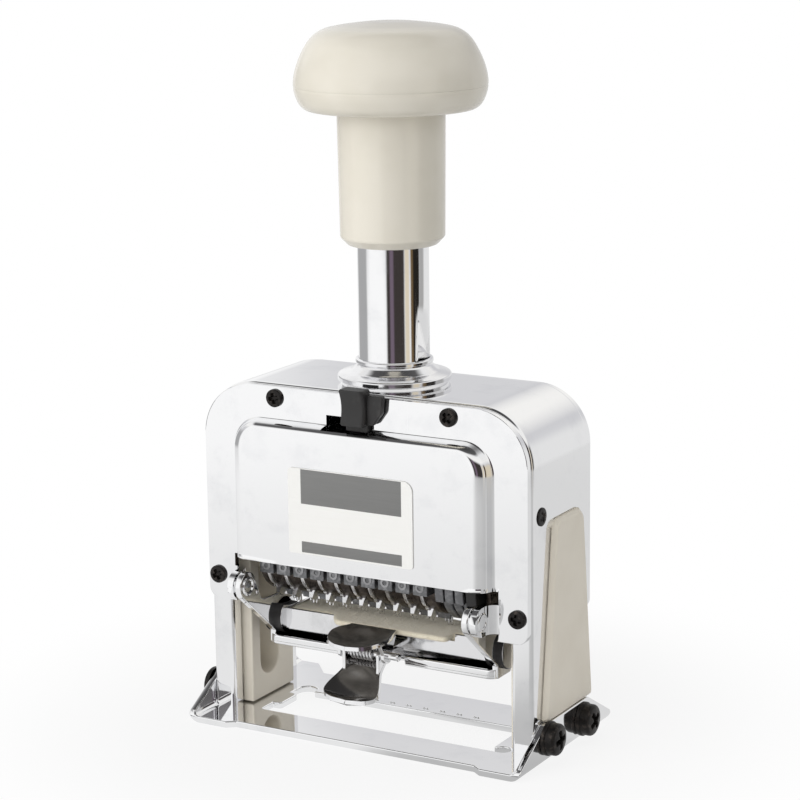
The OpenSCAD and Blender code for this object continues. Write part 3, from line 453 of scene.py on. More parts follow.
TYPE = RubbedSurface(
    "type_steel", "wheel_steel", (0.17, 0.172, 0.178), (0.3, 0.302, 0.31), 0.8, 0.36,
    patch=(1.2, 4, 0.65, 0.45, 0.7), grain=(0.28, 3, 0.7, (1, 0.25, 0.25)),
    patch_rough=-0.08, grain_rough=0.1, depth_mm=0.008,
)
OXIDE = RubbedSurface(
    "black_oxide", "black_steel", (0.022, 0.02, 0.019), (0.07, 0.058, 0.05), 0.75, 0.36,
    patch=(1.3, 4, 0.65, 0.48, 0.72), grain=(0.3, 3, 0.7), patch_rough=-0.1, depth_mm=0.01,
)
BLACK = RubbedSurface(
    "black_moulding", "black_plastic", (0.021, 0.02, 0.02), (0.038, 0.036, 0.035), 0.0, 0.46,
    patch=(4, 3, 0.6, 0.5, 0.75), grain=(0.22, 3, 0.7), patch_rough=-0.12, depth_mm=0.012,
)
IVORY = GlossMoulding("ivory_moulding", "handle_plastic")
BEIGE = GlossMoulding(
    "beige_moulding", "guide_plastic", (0.87, 0.812, 0.7), (0.83, 0.77, 0.655), 0.3, 0.003
)
FELT = WoolFelt("wool_felt", "felt")
PLATE = FoilPlate("plate_ground", "label")
BAND = FoilPlate("plate_band", "label", (0.235, 0.235, 0.23), (0.19, 0.19, 0.186), 0.25)


# ---------------------------------------------------------------- shapes


class Axis(Enum):
    """Direction that a turned or cut shape runs along."""

    X = 0
    Y = 1
    Z = 2

    def place(self, a: Array, b: Array, along: Array) -> Array:
        """Points from two coordinates in the plane across the axis and one along it.

        Args:
            a: first coordinate across the axis.
            b: second one.
            along: coordinate along the axis.

        Returns:
            The points, with X, Y, Z last.
        """
        a, b, along = np.broadcast_arrays(a, b, along)
        if self is Axis.X:
            return np.stack([along, a, b], -1)
        if self is Axis.Y:
            return np.stack([a, along, b], -1)
        return np.stack([a, b, along], -1)


def unit(vectors: Array) -> Array:
    """Vectors scaled to length 1 along the last axis."""
    return vectors / np.maximum(np.linalg.norm(vectors, axis=-1, keepdims=True), 1e-12)


def trace(
    points: Corners, radii: Union[float, Point], steps: int = 6, closed: bool = False,
    guard: float = 0.08,
) -> tuple[Array, Array]:
    """Polyline whose corners are rounded by arcs.

    An arc starts radius * tan(turn / 2) before its corner and turns from one side's
    direction to the other's: start + radius * (sin a * direction + (1 - cos a) * side).

    Args:
        points: the corners, in mm.
        radii: radius of each corner, or one for all; an open line's ends have none.
        steps: segments of each arc.
        closed: whether the last corner joins the first.
        guard: extra points this far outside each arc, so that flats stay flat when shaded.

    Returns:
        The points and the unit tangents there, each of shape (n, 2).
    """
    p = np.asarray(points, float)
    inner = p if closed else p[1:-1]
    before = np.roll(p, 1, 0) if closed else p[:-2]
    after = np.roll(p, -1, 0) if closed else p[2:]
    radius = np.broadcast_to(np.asarray(radii, float), (len(inner),))
    into, away = unit(inner - before), unit(after - inner)
    turn = np.arctan2(
        into[:, 0] * away[:, 1] - into[:, 1] * away[:, 0], (into * away).sum(1)
    )
    reach = radius * np.tan(np.abs(turn) / 2)
    side = np.sign(turn)[:, None] * np.stack([-into[:, 1], into[:, 0]], 1)
    angle = np.linspace(0, 1, steps + 1)[None, :, None] * np.abs(turn)[:, None, None]
    start = inner - into * reach[:, None]
    arc = start[:, None] + radius[:, None, None] * (
        np.sin(angle) * into[:, None] + (1 - np.cos(angle)) * side[:, None]
    )
    heading = np.cos(angle) * into[:, None] + np.sin(angle) * side[:, None]
    lead = arc[:, :1] - guard * into[:, None]
    tail = arc[:, -1:] + guard * away[:, None]
    arc = np.concatenate([lead, arc, tail], 1)
    heading = np.concatenate([heading[:, :1], heading, heading[:, -1:]], 1)
    sharp = (radius <= 0) | (np.abs(turn) < 1e-6)
    keep = np.ones(arc.shape[:2], bool)
    keep[sharp] = False
    keep[sharp, 1] = True
    line, tangents = arc[keep], heading[keep]
    if not closed:
        line = np.concatenate([p[:1], line, p[-1:]])
        tangents = np.concatenate([unit(p[1:2] - p[:1]), tangents, unit(p[-1:] - p[-2:-1])])
    return line, tangents


def outward(tangents: Array, line: Array) -> Array:
    """Normals that point out of a closed line, from its tangents and its signed area.

    Args:
        tangents: unit tangents (n, 2).
        line: the line's points (n, 2).

    Returns:
        Unit normals (n, 2).
    """
    x, y = line.T
    area = (x * np.roll(y, -1) - np.roll(x, -1) * y).sum()
    normals = np.stack([tangents[:, 1], -tangents[:, 0]], 1)
    return normals if area > 0 else -normals


def curve_through(points: Corners, count: int) -> Array:
    """Smooth curve through points: cubic pieces whose slopes are the mean of their sides'.

    Args:
        points: the points (n, 2).
        count: how many points to work out.

    Returns:
        Points (count, 2), evenly spaced over the length of the given polyline.
    """
    p = np.asarray(points, float)
    s = np.concatenate([[0], np.cumsum(np.linalg.norm(np.diff(p, axis=0), axis=1))])
    slope = np.gradient(p, s, axis=0)
    at = np.linspace(0, s[-1], count)
    i = np.clip(np.searchsorted(s, at, "right") - 1, 0, len(p) - 2)
    h = (s[i + 1] - s[i])[:, None]
    t = (at - s[i])[:, None] / h
    return (
        (2 * t**3 - 3 * t**2 + 1) * p[i]
        + (t**3 - 2 * t**2 + t) * h * slope[i]
        + (3 * t**2 - 2 * t**3) * p[i + 1]
        + (t**3 - t**2) * h * slope[i + 1]
    )


def spun(a: Array, b: Array, degrees: float) -> tuple[Array, Array]:
    """Two coordinates turned by degrees from the first towards the second."""
    c, s = math.cos(math.radians(degrees)), math.sin(math.radians(degrees))
    return a * c - b * s, a * s + b * c


def tangents_of(line: Array) -> Array:
    """Unit tangents of a closed line of dense points, from each point's two neighbours."""
    return unit(np.roll(line, -1, 0) - np.roll(line, 1, 0))


def round_trip(count: int) -> Array:
    """Evenly spaced angles of a full turn, from 0, without its end."""
    return np.linspace(0, 2 * math.pi, count, endpoint=False)


def quarter(count: int) -> Array:
    """Evenly spaced angles of a quarter turn, with both ends."""
    return np.linspace(0, math.pi / 2, count)


def ease(values: Array, low: float, high: float) -> Array:
    """Smooth rise from 0 at low to 1 at high: t * t * (3 - 2 t)."""
    t = np.clip((values - low) / (high - low), 0, 1)
    return t * t * (3 - 2 * t)


def ripple(points: Array, size: float, seed: int) -> Array:
    """Smooth pseudo-random height in -1..1: the mean of sine waves in seeded directions.

    Args:
        points: places (n, 3).
        size: length of the waves.
        seed: seed of the directions and phases.

    Returns:
        The height at each place.
    """
    rng = np.random.default_rng(seed)
    waves = rng.normal(size=(9, 3)) / size
    phases = rng.uniform(0, 2 * math.pi, 9)
    return np.sin(points @ waves.T * 2 + phases).mean(-1) * 1.6


class Shape:
    """Vertices and faces gathered in millimetres, made into one object at the end."""

    def __init__(self) -> None:
        """Start empty."""
        self.points: list[Array] = []
        self.faces: list[list[int]] = []
        self.count = 0

    def add(self, points: Array, faces: Iterable[Sequence[int]]) -> "Shape":
        """Take in points (n, 3) and faces that number them.

        Args:
            points: vertices (n, 3).
            faces: rows of vertex numbers from 0.

        Returns:
            This shape.
        """
        flat = np.asarray(points, float).reshape(-1, 3)
        self.faces.extend([[int(v) + self.count for v in face] for face in faces])
        self.points.append(flat)
        self.count += len(flat)
        return self

    def grid(
        self, points: Array, wrap_rows: bool = False, wrap_cols: bool = False, caps: bool = False,
        keep: Optional[Array] = None,
    ) -> "Shape":
        """Quads between neighbouring points of a grid.

        Args:
            points: array (rows, cols, 3).
            wrap_rows: whether the last row joins the first.
            wrap_cols: whether the last column joins the first.
            caps: whether the first and the last row are closed by one face each.
            keep: mask (rows, cols) of the quads to keep, by their first corner.

        Returns:
            This shape.
        """
        rows, cols = points.shape[:2]
        r, c = np.meshgrid(
            np.arange(rows - (not wrap_rows)), np.arange(cols - (not wrap_cols)), indexing="ij"
        )
        if keep is not None:
            chosen = keep[r, c]
            r, c = r[chosen], c[chosen]
        r1, c1 = (r + 1) % rows, (c + 1) % cols
        quads = np.stack(
            [r * cols + c, r * cols + c1, r1 * cols + c1, r1 * cols + c], -1
        ).reshape(-1, 4)
        faces = quads.tolist()
        if caps:
            faces += [list(range(cols))[::-1], [(rows - 1) * cols + i for i in range(cols)]]
        return self.add(points, faces)

    def lathe(
        self, profile: Array, axis: Axis = Axis.Z, centre: Point = (0, 0), steps: int = 64,
        closed: bool = False,
    ) -> "Shape":
        """Turned surface: radius * (cos a, sin a) across the axis, height along it.

        Args:
            profile: rows of (radius, place along the axis).
            axis: the turning axis.
            centre: where the axis crosses the plane across it.
            steps: facets round the axis.
            closed: whether the profile is a closed loop.

        Returns:
            This shape.
        """
        angle = round_trip(steps)[:, None]
        radius, height = profile[None, :, 0], profile[None, :, 1]
        a, b = centre[0] + radius * np.cos(angle), centre[1] + radius * np.sin(angle)
        return self.grid(axis.place(a, b, height), wrap_rows=True, wrap_cols=closed)

    def plate(
        self, corners: Corners, radii: Union[float, Point], low: float, high: float, axis: Axis,
        rim: float = 0.15, steps: int = 6,
    ) -> "Shape":
        """Flat plate: a rounded outline, drawn in by rim * (1 - sin a) near both faces.

        Args:
            corners: corners of the outline in the plane across the axis.
            radii: their radii.
            low: start of the plate along the axis.
            high: end of the plate along the axis.
            axis: direction of the plate's thickness.
            rim: radius of its edges.
            steps: segments of each corner.

        Returns:
            This shape.
        """
        line, tangents = trace(corners, radii, steps, closed=True, guard=0.02)
        return self.slab(line, tangents, low, high, axis, rim)

    def slab(
        self, line: Array, tangents: Array, low: float, high: float, axis: Axis, rim: float
    ) -> "Shape":
        """Flat plate over a closed line, its edges rounded by rim as in plate.

        Args:
            line: points of the outline (n, 2).
            tangents: its unit tangents.
            low: start of the plate.
            high: end of the plate.
            axis: direction from start to end.
            rim: radius of its edges.

        Returns:
            This shape.
        """
        normals = outward(tangents, line)
        a = quarter(4)
        draw = rim * np.concatenate([1 - np.sin(a), 1 - np.cos(a)])
        lift = np.concatenate([low + rim * (1 - np.cos(a)), high - rim * (1 - np.sin(a))])
        ring = line[None] - normals[None] * draw[:, None, None]
        points = axis.place(ring[..., 0], ring[..., 1], lift[:, None])
        return self.grid(points, wrap_cols=True, caps=True)

    def tube(self, path: Array, radius: float, sides: int = 10) -> "Shape":
        """Round wire along a path: each ring stands across the path, carried without twist.

        Args:
            path: points (n, 3).
            radius: wire radius.
            sides: facets round the wire.

        Returns:
            This shape.
        """
        tangent = unit(np.gradient(path, axis=0))
        guide = np.array([0.31, 0.17, 0.93])
        first = unit(np.cross(tangent, guide))
        second = np.cross(tangent, first)
        a = round_trip(sides)[None, :, None]
        across = np.cos(a) * first[:, None] + np.sin(a) * second[:, None]
        rings = path[:, None] + radius * across
        return self.grid(rings, wrap_cols=True, caps=True)

    def block(self, low: Point, high: Point, taper: float = 0) -> "Shape":
        """Six-sided block between two corners; its low Z face is drawn in by taper.

        Args:
            low: corner with the smallest coordinates.
            high: corner with the largest ones.
            taper: how far the low Z face is drawn in.

        Returns:
            This shape.
        """
        lo, hi = np.asarray(low, float), np.asarray(high, float)
        sign = np.array([[x, y, z] for z in (0, 1) for y in (0, 1) for x in (0, 1)], float)
        points = lo + sign * (hi - lo)
        mid = (lo + hi) / 2
        drawn = (sign[:, 2] == 0)[:, None] * np.sign(mid - points) * taper
        points[:, :2] += drawn[:, :2]
        faces = (
            (0, 2, 3, 1), (4, 5, 7, 6), (0, 1, 5, 4), (2, 6, 7, 3), (0, 4, 6, 2), (1, 3, 7, 5)
        )
        return self.add(points, faces)

    def build(self, name: str, sharp: float = 32, facing: Optional[Point] = None) -> Piece:
        """Make the object.

        Args:
            name: its name.
            sharp: edges that turn more than this many degrees stay sharp.
            facing: for an open sheet, the direction that its outside looks along.

        Returns:
            The object, at the origin, merged and with its faces outwards.
        """
        mesh = bpy.data.meshes.new(name)
        mesh.from_pydata((np.concatenate(self.points) * MM).tolist(), [], self.faces)
        shell = bmesh.new()
        shell.from_mesh(mesh)
        bmesh.ops.remove_doubles(shell, verts=shell.verts, dist=SEAM_MERGE)
        bmesh.ops.recalc_face_normals(shell, faces=shell.faces)
        if facing is not None:
            total = sum((np.array(f.normal) * f.calc_area() for f in shell.faces), np.zeros(3))
            if total @ np.asarray(facing, float) < 0:
                bmesh.ops.reverse_faces(shell, faces=shell.faces)
        shell.to_mesh(mesh)
        shell.free()
        return settle(name, mesh, sharp)


def places(mesh: bpy.types.Mesh) -> Array:
    """Where a mesh's vertices are, in metres.

    Args:
        mesh: the mesh.

    Returns:
        Array (n, 3).
    """
    co = np.zeros(len(mesh.vertices) * 3)
    mesh.vertices.foreach_get("co", co)
    return co.reshape(-1, 3)


def worked_out(holder: Piece) -> bpy.types.Mesh:
    """Mesh of an object's text or modifiers; the object itself is removed.

    Args:
        holder: the object.

    Returns:
        The mesh.
    """
    bpy.context.view_layer.update()
    whole = holder.evaluated_get(bpy.context.evaluated_depsgraph_get())
    mesh = bpy.data.meshes.new_from_object(whole)
    bpy.data.objects.remove(holder)
    return mesh


def settle(name: str, mesh: bpy.types.Mesh, sharp: float) -> Piece:
    """An object in the scene for a mesh, smooth but for edges sharper than sharp degrees.

    Args:
        name: the object's name.
        mesh: its mesh.
        sharp: edges that turn more than this many degrees stay sharp.

    Returns:
        The object.
    """
    mesh.polygons.foreach_set("use_smooth", np.ones(len(mesh.polygons), bool))
    mesh.set_sharp_from_angle(angle=math.radians(sharp))
    mesh.update()
    piece = bpy.data.objects.new(name, mesh)
    bpy.context.scene.collection.objects.link(piece)
    return piece


def soften(
    node: str, width: float, segments: int = 2, turn: float = 30, skip: Optional[Corners] = None
) -> Piece:
    """Copy of a CAD node with its edges rounded.

    The copy's loose triangles are merged and its flats dissolved; then every edge between
    faces that meet at more than turn degrees is rounded.

    Args:
        node: name of the CAD node.
        width: how far the rounding reaches from the edge, in mm.
        segments: steps of the rounding.
        turn: smallest angle of an edge that is rounded, in degrees.
        skip: low and high corner, in mm, of a box whose edges are left as they are.

    Returns:
        The new object.
    """
    mesh = frame["nodes"][node].data.copy()
    shell = bmesh.new()
    shell.from_mesh(mesh)
    bmesh.ops.remove_doubles(shell, verts=shell.verts, dist=CAD_MERGE)
    bmesh.ops.dissolve_limit(
        shell, angle_limit=math.radians(FLAT_DEGREES), verts=shell.verts, edges=shell.edges
    )
    chosen = [
        e for e in shell.edges
        if len(e.link_faces) == 2 and e.calc_face_angle(0) > math.radians(turn)
    ]
    if skip is not None:
        lo, hi = np.asarray(skip, float) * MM
        chosen = [
            e for e in chosen
            if not all(((np.array(v.co) > lo) & (np.array(v.co) < hi)).all() for v in e.verts)
        ]
    bmesh.ops.bevel(
        shell, geom=chosen, offset=width * MM, offset_type="OFFSET", segments=segments,
        profile=0.5, affect="EDGES", clamp_overlap=False,
    )
    shell.to_mesh(mesh)
    shell.free()
    corners = np.array(frame["nodes"][node].bound_box)
    inside = np.clip(places(mesh), corners.min(0), corners.max(0))
    mesh.vertices.foreach_set("co", inside.ravel())
    mesh.materials.clear()
    return weigh(settle(node + "_fine", mesh, 34))


def weigh(piece: Piece) -> Piece:
    """Shade a piece by the area of its faces, so that large flats stay flat.

    Args:
        piece: the piece.

    Returns:
        The piece.
    """
    modifier = piece.modifiers.new("even_shade", "WEIGHTED_NORMAL")
    modifier.keep_sharp = True
    modifier.weight = 80
    return piece


def thicken(piece: Piece, wall: float, rim: int = 0) -> Piece:
    """Give a sheet its wall, in mm, away from the side that its faces look along.

    Args:
        piece: the sheet.
        wall: its thickness.
        rim: how many materials further down the list the cut edge's material is.

    Returns:
        The piece.
    """
    modifier = piece.modifiers.new("wall", "SOLIDIFY")
    modifier.thickness = wall * MM
    modifier.offset = -1
    modifier.use_even_offset = True
    modifier.material_offset_rim = rim
    return piece


def round_edges(piece: Piece, width: float, segments: int = 2, turn: float = 40) -> Piece:
    """Round edges that turn more than turn degrees, width mm wide.

    Args:
        piece: the piece.
        width: width of the rounding, in mm.
        segments: its steps.
        turn: smallest angle that is rounded.

    Returns:
        The piece.
    """
    modifier = piece.modifiers.new("rounded", "BEVEL")
    modifier.limit_method = "ANGLE"
    modifier.angle_limit = math.radians(turn)
    modifier.width = width * MM
    modifier.segments = segments
    modifier.harden_normals = False
    return weigh(piece)


# ---------------------------------------------------------------- dressing


class Workshop:
    """Gives pieces their material and body, and hides the CAD nodes that they stand for."""

    def __init__(self, record: dict, nodes: dict) -> None:
        """Read which body and which slot each CAD node has.

        Args:
            record: the part's record.
            nodes: the CAD nodes by name.
        """
        self.nodes = nodes
        self.made: dict[str, bpy.types.Material] = {}
        bodies = record["behaviour"]["bodies"]
        self.body_of = {node: body for body, members in bodies.items() for node in members}

    def material(self, finish: Finish) -> bpy.types.Material:
        """The material of a finish, made once."""
        if finish.name not in self.made:
            self.made[finish.name] = finish.make()
        return self.made[finish.name]

    def dress(self, finish: Finish, *names: str) -> None:
        """CAD nodes whose shape is right get a finish."""
        for name in names:
            mesh = self.nodes[name].data
            mesh.materials.clear()
            mesh.materials.append(self.material(finish))
            log.info("dressed %s with %s", name, finish.name)

    def put(
        self, piece: Piece, node: str, finish: Finish, stands_for: Sequence[str] = ()
    ) -> Piece:
        """Dress a new piece.

        Args:
            piece: the object.
            node: the CAD node whose body it rides on.
            finish: its finish.
            stands_for: CAD nodes that it replaces.

        Returns:
            The object.
        """
        piece.data.materials.clear()
        piece.data.materials.append(self.material(finish))
        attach(piece, self.body_of[node])
        if stands_for:
            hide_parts(*stands_for)
        log.info("built %s on %s, %d faces", piece.name, node, len(piece.data.polygons))
        return piece

    def swap(self, piece: Piece, node: str, finish: Finish) -> Piece:
        """Dress a new piece that takes the place of a CAD node."""
        return self.put(piece, node, finish, [node])

    def refine(self, finish: Finish, width: float, *names: str, **options: object) -> None:
        """CAD nodes give way to copies with rounded edges."""
        for name in names:
            self.swap(soften(name, width, **options), name, finish)


# ---------------------------------------------------------------- sub-assemblies


class Assembly:
    """A sub-assembly of the machine; its sizes are in millimetres."""

    def build(self, shop: Workshop) -> None:
        """Make, dress and place the pieces.

        Args:
            shop: the workshop that dresses them.
        """
        raise NotImplementedError


@dataclass
class FrameBand(Assembly):
    """The bent frame: a channel carried up one leg, over the top and down the other."""

    half_w: float = 41.7
    top: float = 80.5
    foot: float = 1.6
    corner: float = 13.0
    half_d: float = 14.0
    sheet: float = 1.6
    flange: float = 5.3
    lip: float = 2.0
    lip_sheet: float = 1.0
    lip_top: float = 39.5
    bend: float = 0.9

    def section(self) -> tuple[Array, Array]:
        """Closed section of the channel as (place along Y, depth from the outer face).

        Returns:
            The points, and for each the sign by which the lip's end moves along Y.
        """
        d, t, q = self.half_d, self.sheet, self.flange
        lip_in = q - self.lip_sheet
        half = [
            (0, 0), (-d, 0), (-d, q), (-d + t, q), (-d + t, lip_in),
            (-d + t - 0.02, lip_in - 0.02), (-d + t, t), (0, t),
        ]
        radii = [self.bend, self.bend, 0, 0, 0, 0.5]
        line, _ = trace(half, radii, 5, guard=0.15)
        ends = (np.abs(line[:, 0] + d - t) < 1e-6) & (line[:, 1] > lip_in - 1e-6)
        moves = ends.astype(float)
        mirrored = line[::-1] * [-1, 1]
        return (
            np.concatenate([line[:-1], mirrored[:-1]]),
            np.concatenate([moves[:-1], -moves[::-1][:-1]]),
        )

    def path(self) -> tuple[Array, Array]:
        """Outer line of the band in XZ and the normals into the machine.

        Returns:
            Points (n, 2) and unit normals (n, 2).
        """
        w, z = self.half_w, self.top
        rows = [self.foot, 20, self.lip_top - 0.1, self.lip_top + 0.3, 52]
        left = [(-w, r) for r in rows]
        points = left + [(-w, z), (0, z), (w, z)] + [(w, r) for r in rows[::-1]]
        radii = [0] * 4 + [self.corner, 0, self.corner] + [0] * 4
        line, tangents = trace(points, radii, 28, guard=0.3)
        return line, np.stack([tangents[:, 1], -tangents[:, 0]], 1)

    def build(self, shop: Workshop) -> None:
        """Point (s, j) is path(s) + depth(j) * normal(s), at section(j) along Y."""
        section, moves = self.section()
        line, normals = self.path()
        lip = (self.lip * (1 - ease(line[:, 1], self.lip_top, self.lip_top + 0.3)))[:, None]
        across = line[:, None] + section[None, :, 1:2] * normals[:, None]
        along = section[None, :, 0] + moves[None, :] * lip
        points = Axis.Y.place(across[..., 0], across[..., 1], along)
        piece = Shape().grid(points, wrap_cols=True, caps=True).build("frame_channel", 40)
        shop.swap(weigh(piece), "frame_band", CHROME)


@dataclass
class Cover(Assembly):
    """A pressed cover: flat rim, raised panel with soft shoulders, and hinge ears in front."""

    half_w: float = 41.3
    top: float = 80.1
    corner: float = 12.6
    foot: float = 28.6
    foot_r: float = 2.5
    panel_w: float = 33.0
    panel_top: float = 72.7
    panel_foot: float = 39.9
    panel_r: float = 7.0
    face: float = 15.5
    rise: float = 3.5
    wall: float = 1.5
    ear_x: float = 32.0
    ear_bend: float = 2.4
    hinge_y: float = -19.0
    hinge_z: float = 33.6
    eye_r: float = 3.3
    slot: tuple = ((-8.8, 72.0), (3.1, 75.0))

    def legs(self) -> tuple[Array, Array]:
        """Heights of the grid's lines on a side strip, and how far its foot is rounded there.

        Returns:
            Heights and insets, from the foot upwards.
        """
        a = np.radians([90, 70, 50, 35, 18.66, 9, 0])
        low = self.foot + self.foot_r * (1 - np.sin(a))
        inset = self.foot_r * (1 - np.cos(a))
        eye = self.hinge_z + self.eye_r * np.array([-0.5, 0, 0.5, 1])
        high = np.concatenate([eye, [38.2, self.panel_foot, 41, 46, 52, 58]])
        return np.concatenate([low, high]), np.concatenate([inset, 0 * high])

    def line(self, half_w: float, top: float, radius: float, inset: bool) -> tuple[Array, Array]:
        """One line of the grid, from the left foot over the top to the right foot.

        Args:
            half_w: half the line's width.
            top: its height.
            radius: radius of its upper corners.
            inset: whether its foot is rounded.

        Returns:
            Points (n, 2) and their normals into the cover.
        """
        z, draw = self.legs()
        x = half_w - draw * inset
        left = np.stack([-x, z], 1)
        arch, tangents = trace(
            [left[-1], (-half_w, top), (half_w, top), (half_w, z[-1])], radius, 20, guard=0.3
        )
        cut = len(arch) // 2
        between = np.linspace(arch[cut - 1], arch[cut], 9)[1:-1]
        right = left[::-1][1:] * [-1, 1]
        points = np.concatenate([left[:-1], arch[:cut], between, arch[cut:], right])
        up = np.tile([[0.0, 1.0]], (len(left) - 1, 1))
        flat = np.tile([[1.0, 0.0]], (len(between), 1))
        heading = np.concatenate([up, tangents[:cut], flat, tangents[cut:], -up])
        return points, np.stack([heading[:, 1], -heading[:, 0]], 1)

    def shoulder(self) -> Array:
        """Section of the panel's shoulder as (distance inwards, height).

        Returns:
            Points (n, 2).
        """
        corners = [(-1.6, 0), (0, 0), (1.0, 2.35), (2.7, self.rise), (8.5, self.rise)]
        line, _ = trace(corners, [0.7, 2.6, 3.6], 7, guard=0.05)
        return line[1:-1]

    def sheet(self, ears: bool) -> Shape:
        """Outer face of the cover in front: a ruled rim, the shoulder, then a shrinking arch.

        Args:
            ears: whether the hinge ears and the room for them are made.

        Returns:
            The open shape.
        """
        outer, _ = self.line(self.half_w, self.top, self.corner, True)
        inner, normals = self.line(self.panel_w, self.panel_top, self.panel_r, False)
        seam = (self.half_w - self.ear_x - self.ear_bend) / (self.half_w - self.panel_w)
        steep = np.abs(normals[:, :1]) ** 1.5
        run = 0.42 + 0.58 * steep
        rim = [0.0, 0.03, 0.5, seam, 0.86]
        rows = [outer + (inner - outer) * f for f in rim]
        heights = [0.0] * len(rim)
        profile = self.shoulder()
        rows += [inner + normals * profile[k, 0] * run for k in range(len(profile))]
        heights += profile[:, 1].tolist()
        centre = np.array([0, self.panel_foot])
        for f in (0.985, 0.9, 0.7, 0.5, 0.3, 0.1, 0.0):
            rows.append(centre + (rows[len(rim) + len(profile) - 1] - centre) * f)
            heights.append(self.rise)
        plan = np.array(rows)
        height = np.array(heights)[:, None]
        crown = 0.12 * (1 - np.clip(plan[..., 0] / 30, -1, 1) ** 2) * ease(height, 3.0, 3.5)
        points = Axis.Y.place(plan[..., 0], plan[..., 1], -(self.face + height + crown))
        z = np.minimum(plan[0, :, 1], np.roll(plan[0, :, 1], -1))
        keep = np.ones(points.shape[:2], bool)
        keep[len(rim):, :] = z > self.panel_foot - 0.01
        panel_rows = np.arange(len(plan)) >= len(rim) - 1
        keep[np.ix_(panel_rows, z < self.panel_foot - 0.01)] = False
        if ears:
            low = (z > self.hinge_z - self.eye_r - 0.1) & (z < self.hinge_z + self.eye_r - 0.1)
            keep[3, low] = False
        shape = Shape().grid(points, keep=keep)
        if ears:
            for side in (-1, 1):
                shape.grid(self.ear(side))
        return shape

    def ear(self, side: int) -> Array:
        """Grid of one ear: a line that bends forward, as wide as the round eye lets it be.

        Args:
            side: -1 for the left ear, 1 for the right one.

        Returns:
            Array (rows, 5, 3).
        """
        seam_x = self.ear_x + self.ear_bend
        end = self.hinge_y - self.eye_r
        corners = [(seam_x, -self.face), (self.ear_x, -self.face), (self.ear_x, end)]
        line, _ = trace(corners, self.ear_bend, 9, guard=0.0)
        a = quarter(13)
        tip = np.stack([np.full(13, self.ear_x), self.hinge_y - self.eye_r * np.sin(a)], 1)
        flat = line[1:-2]
        path = np.concatenate([flat, tip])
        reach = np.concatenate([np.full(len(flat), self.eye_r), self.eye_r * np.cos(a)])
        t = np.array([-1, -0.5, 0, 0.5, 1])
        return Axis.X.place(path[:, 1:], self.hinge_z + reach[:, None] * t, side * path[:, :1])

    def cut_slot(self, piece: Piece) -> None:
        """Cut the grid's faces along the slot's four sides and take out what lies within.

        Args:
            piece: the front cover, still a thin sheet.
        """
        (x0, z0), (x1, z1) = np.array(self.slot) * MM
        shell = bmesh.new()
        shell.from_mesh(piece.data)
        for place, normal in (
            ((x0, 0, 0), (1, 0, 0)), ((x1, 0, 0), (1, 0, 0)),
            ((0, 0, z0), (0, 0, 1)), ((0, 0, z1), (0, 0, 1)),
        ):
            near = [
                f for f in shell.faces
                if any(x0 - 0.003 < v.co.x < x1 + 0.003 and z0 - 0.003 < v.co.z < z1 + 0.003
                       for v in f.verts)
                or (f.calc_center_median().x - (x0 + x1) / 2) ** 2 < 1e-4
                and z0 - 0.003 < f.calc_center_median().z < z1 + 0.003
            ]
            edges = {e for f in near for e in f.edges}
            corners = {v for f in near for v in f.verts}
            bmesh.ops.bisect_plane(
                shell, geom=[*near, *edges, *corners], plane_co=place, plane_no=normal
            )
        gone = [
            f for f in shell.faces
            if x0 < f.calc_center_median().x < x1 and z0 < f.calc_center_median().z < z1
        ]
        bmesh.ops.delete(shell, geom=gone, context="FACES")
        shell.to_mesh(piece.data)
        shell.free()

    def finish(self, piece: Piece) -> Piece:
        """Wall and rolled edges of a cover."""
        return round_edges(thicken(piece, self.wall), 0.35, 3, 55)

    def build(self, shop: Workshop) -> None:
        """Front cover with ears and slot, and the plainer back cover turned about Y."""
        front = self.sheet(True).build("front_cover_pressed", 42, (0, -1, 0))
        self.cut_slot(front)
        shop.swap(self.finish(front), "front_cover", CHROME)
        shape = self.sheet(False)
        shape.points = [p * [1, -1, 1] for p in shape.points]
        back = shape.build("back_cover_pressed", 42, (0, 1, 0))
        shop.swap(self.finish(back), "back_cover", CHROME)


@dataclass
class NamePlate(Assembly):
    """Blank plate on the front panel, with two plain grey bands."""

    face: float = 19.1
    low: tuple = (-16.9, 43.3)
    high: tuple = (15.1, 63.1)
    upper: tuple = ((-13.5, 55.0), (12.3, 62.95))
    lower: tuple = ((-13.5, 43.75), (12.3, 46.3))

    def rectangle(self, low: Point, high: Point) -> list:
        """Corners of a rectangle, in order."""
        return [low, (high[0], low[1]), high, (low[0], high[1])]

    def build(self, shop: Workshop) -> None:
        """A thin plate with rounded corners, and two bands a hair above it."""
        outline = self.rectangle(self.low, self.high)
        radii = [0.7, 0.7, 2.4, 1.0]
        plate = Shape().plate(outline, radii, -self.face - 0.28, -self.face + 0.1, Axis.Y, 0.08, 8)
        shop.swap(weigh(plate.build("name_plate_blank")), "name_plate", PLATE)
        bands, level = Shape(), -self.face - 0.3
        for low, high in (self.upper, self.lower):
            bands.plate(self.rectangle(low, high), 0.05, level, level + 0.1, Axis.Y, 0.01, 2)
        shop.put(bands.build("name_plate_bands"), "name_plate", BAND)


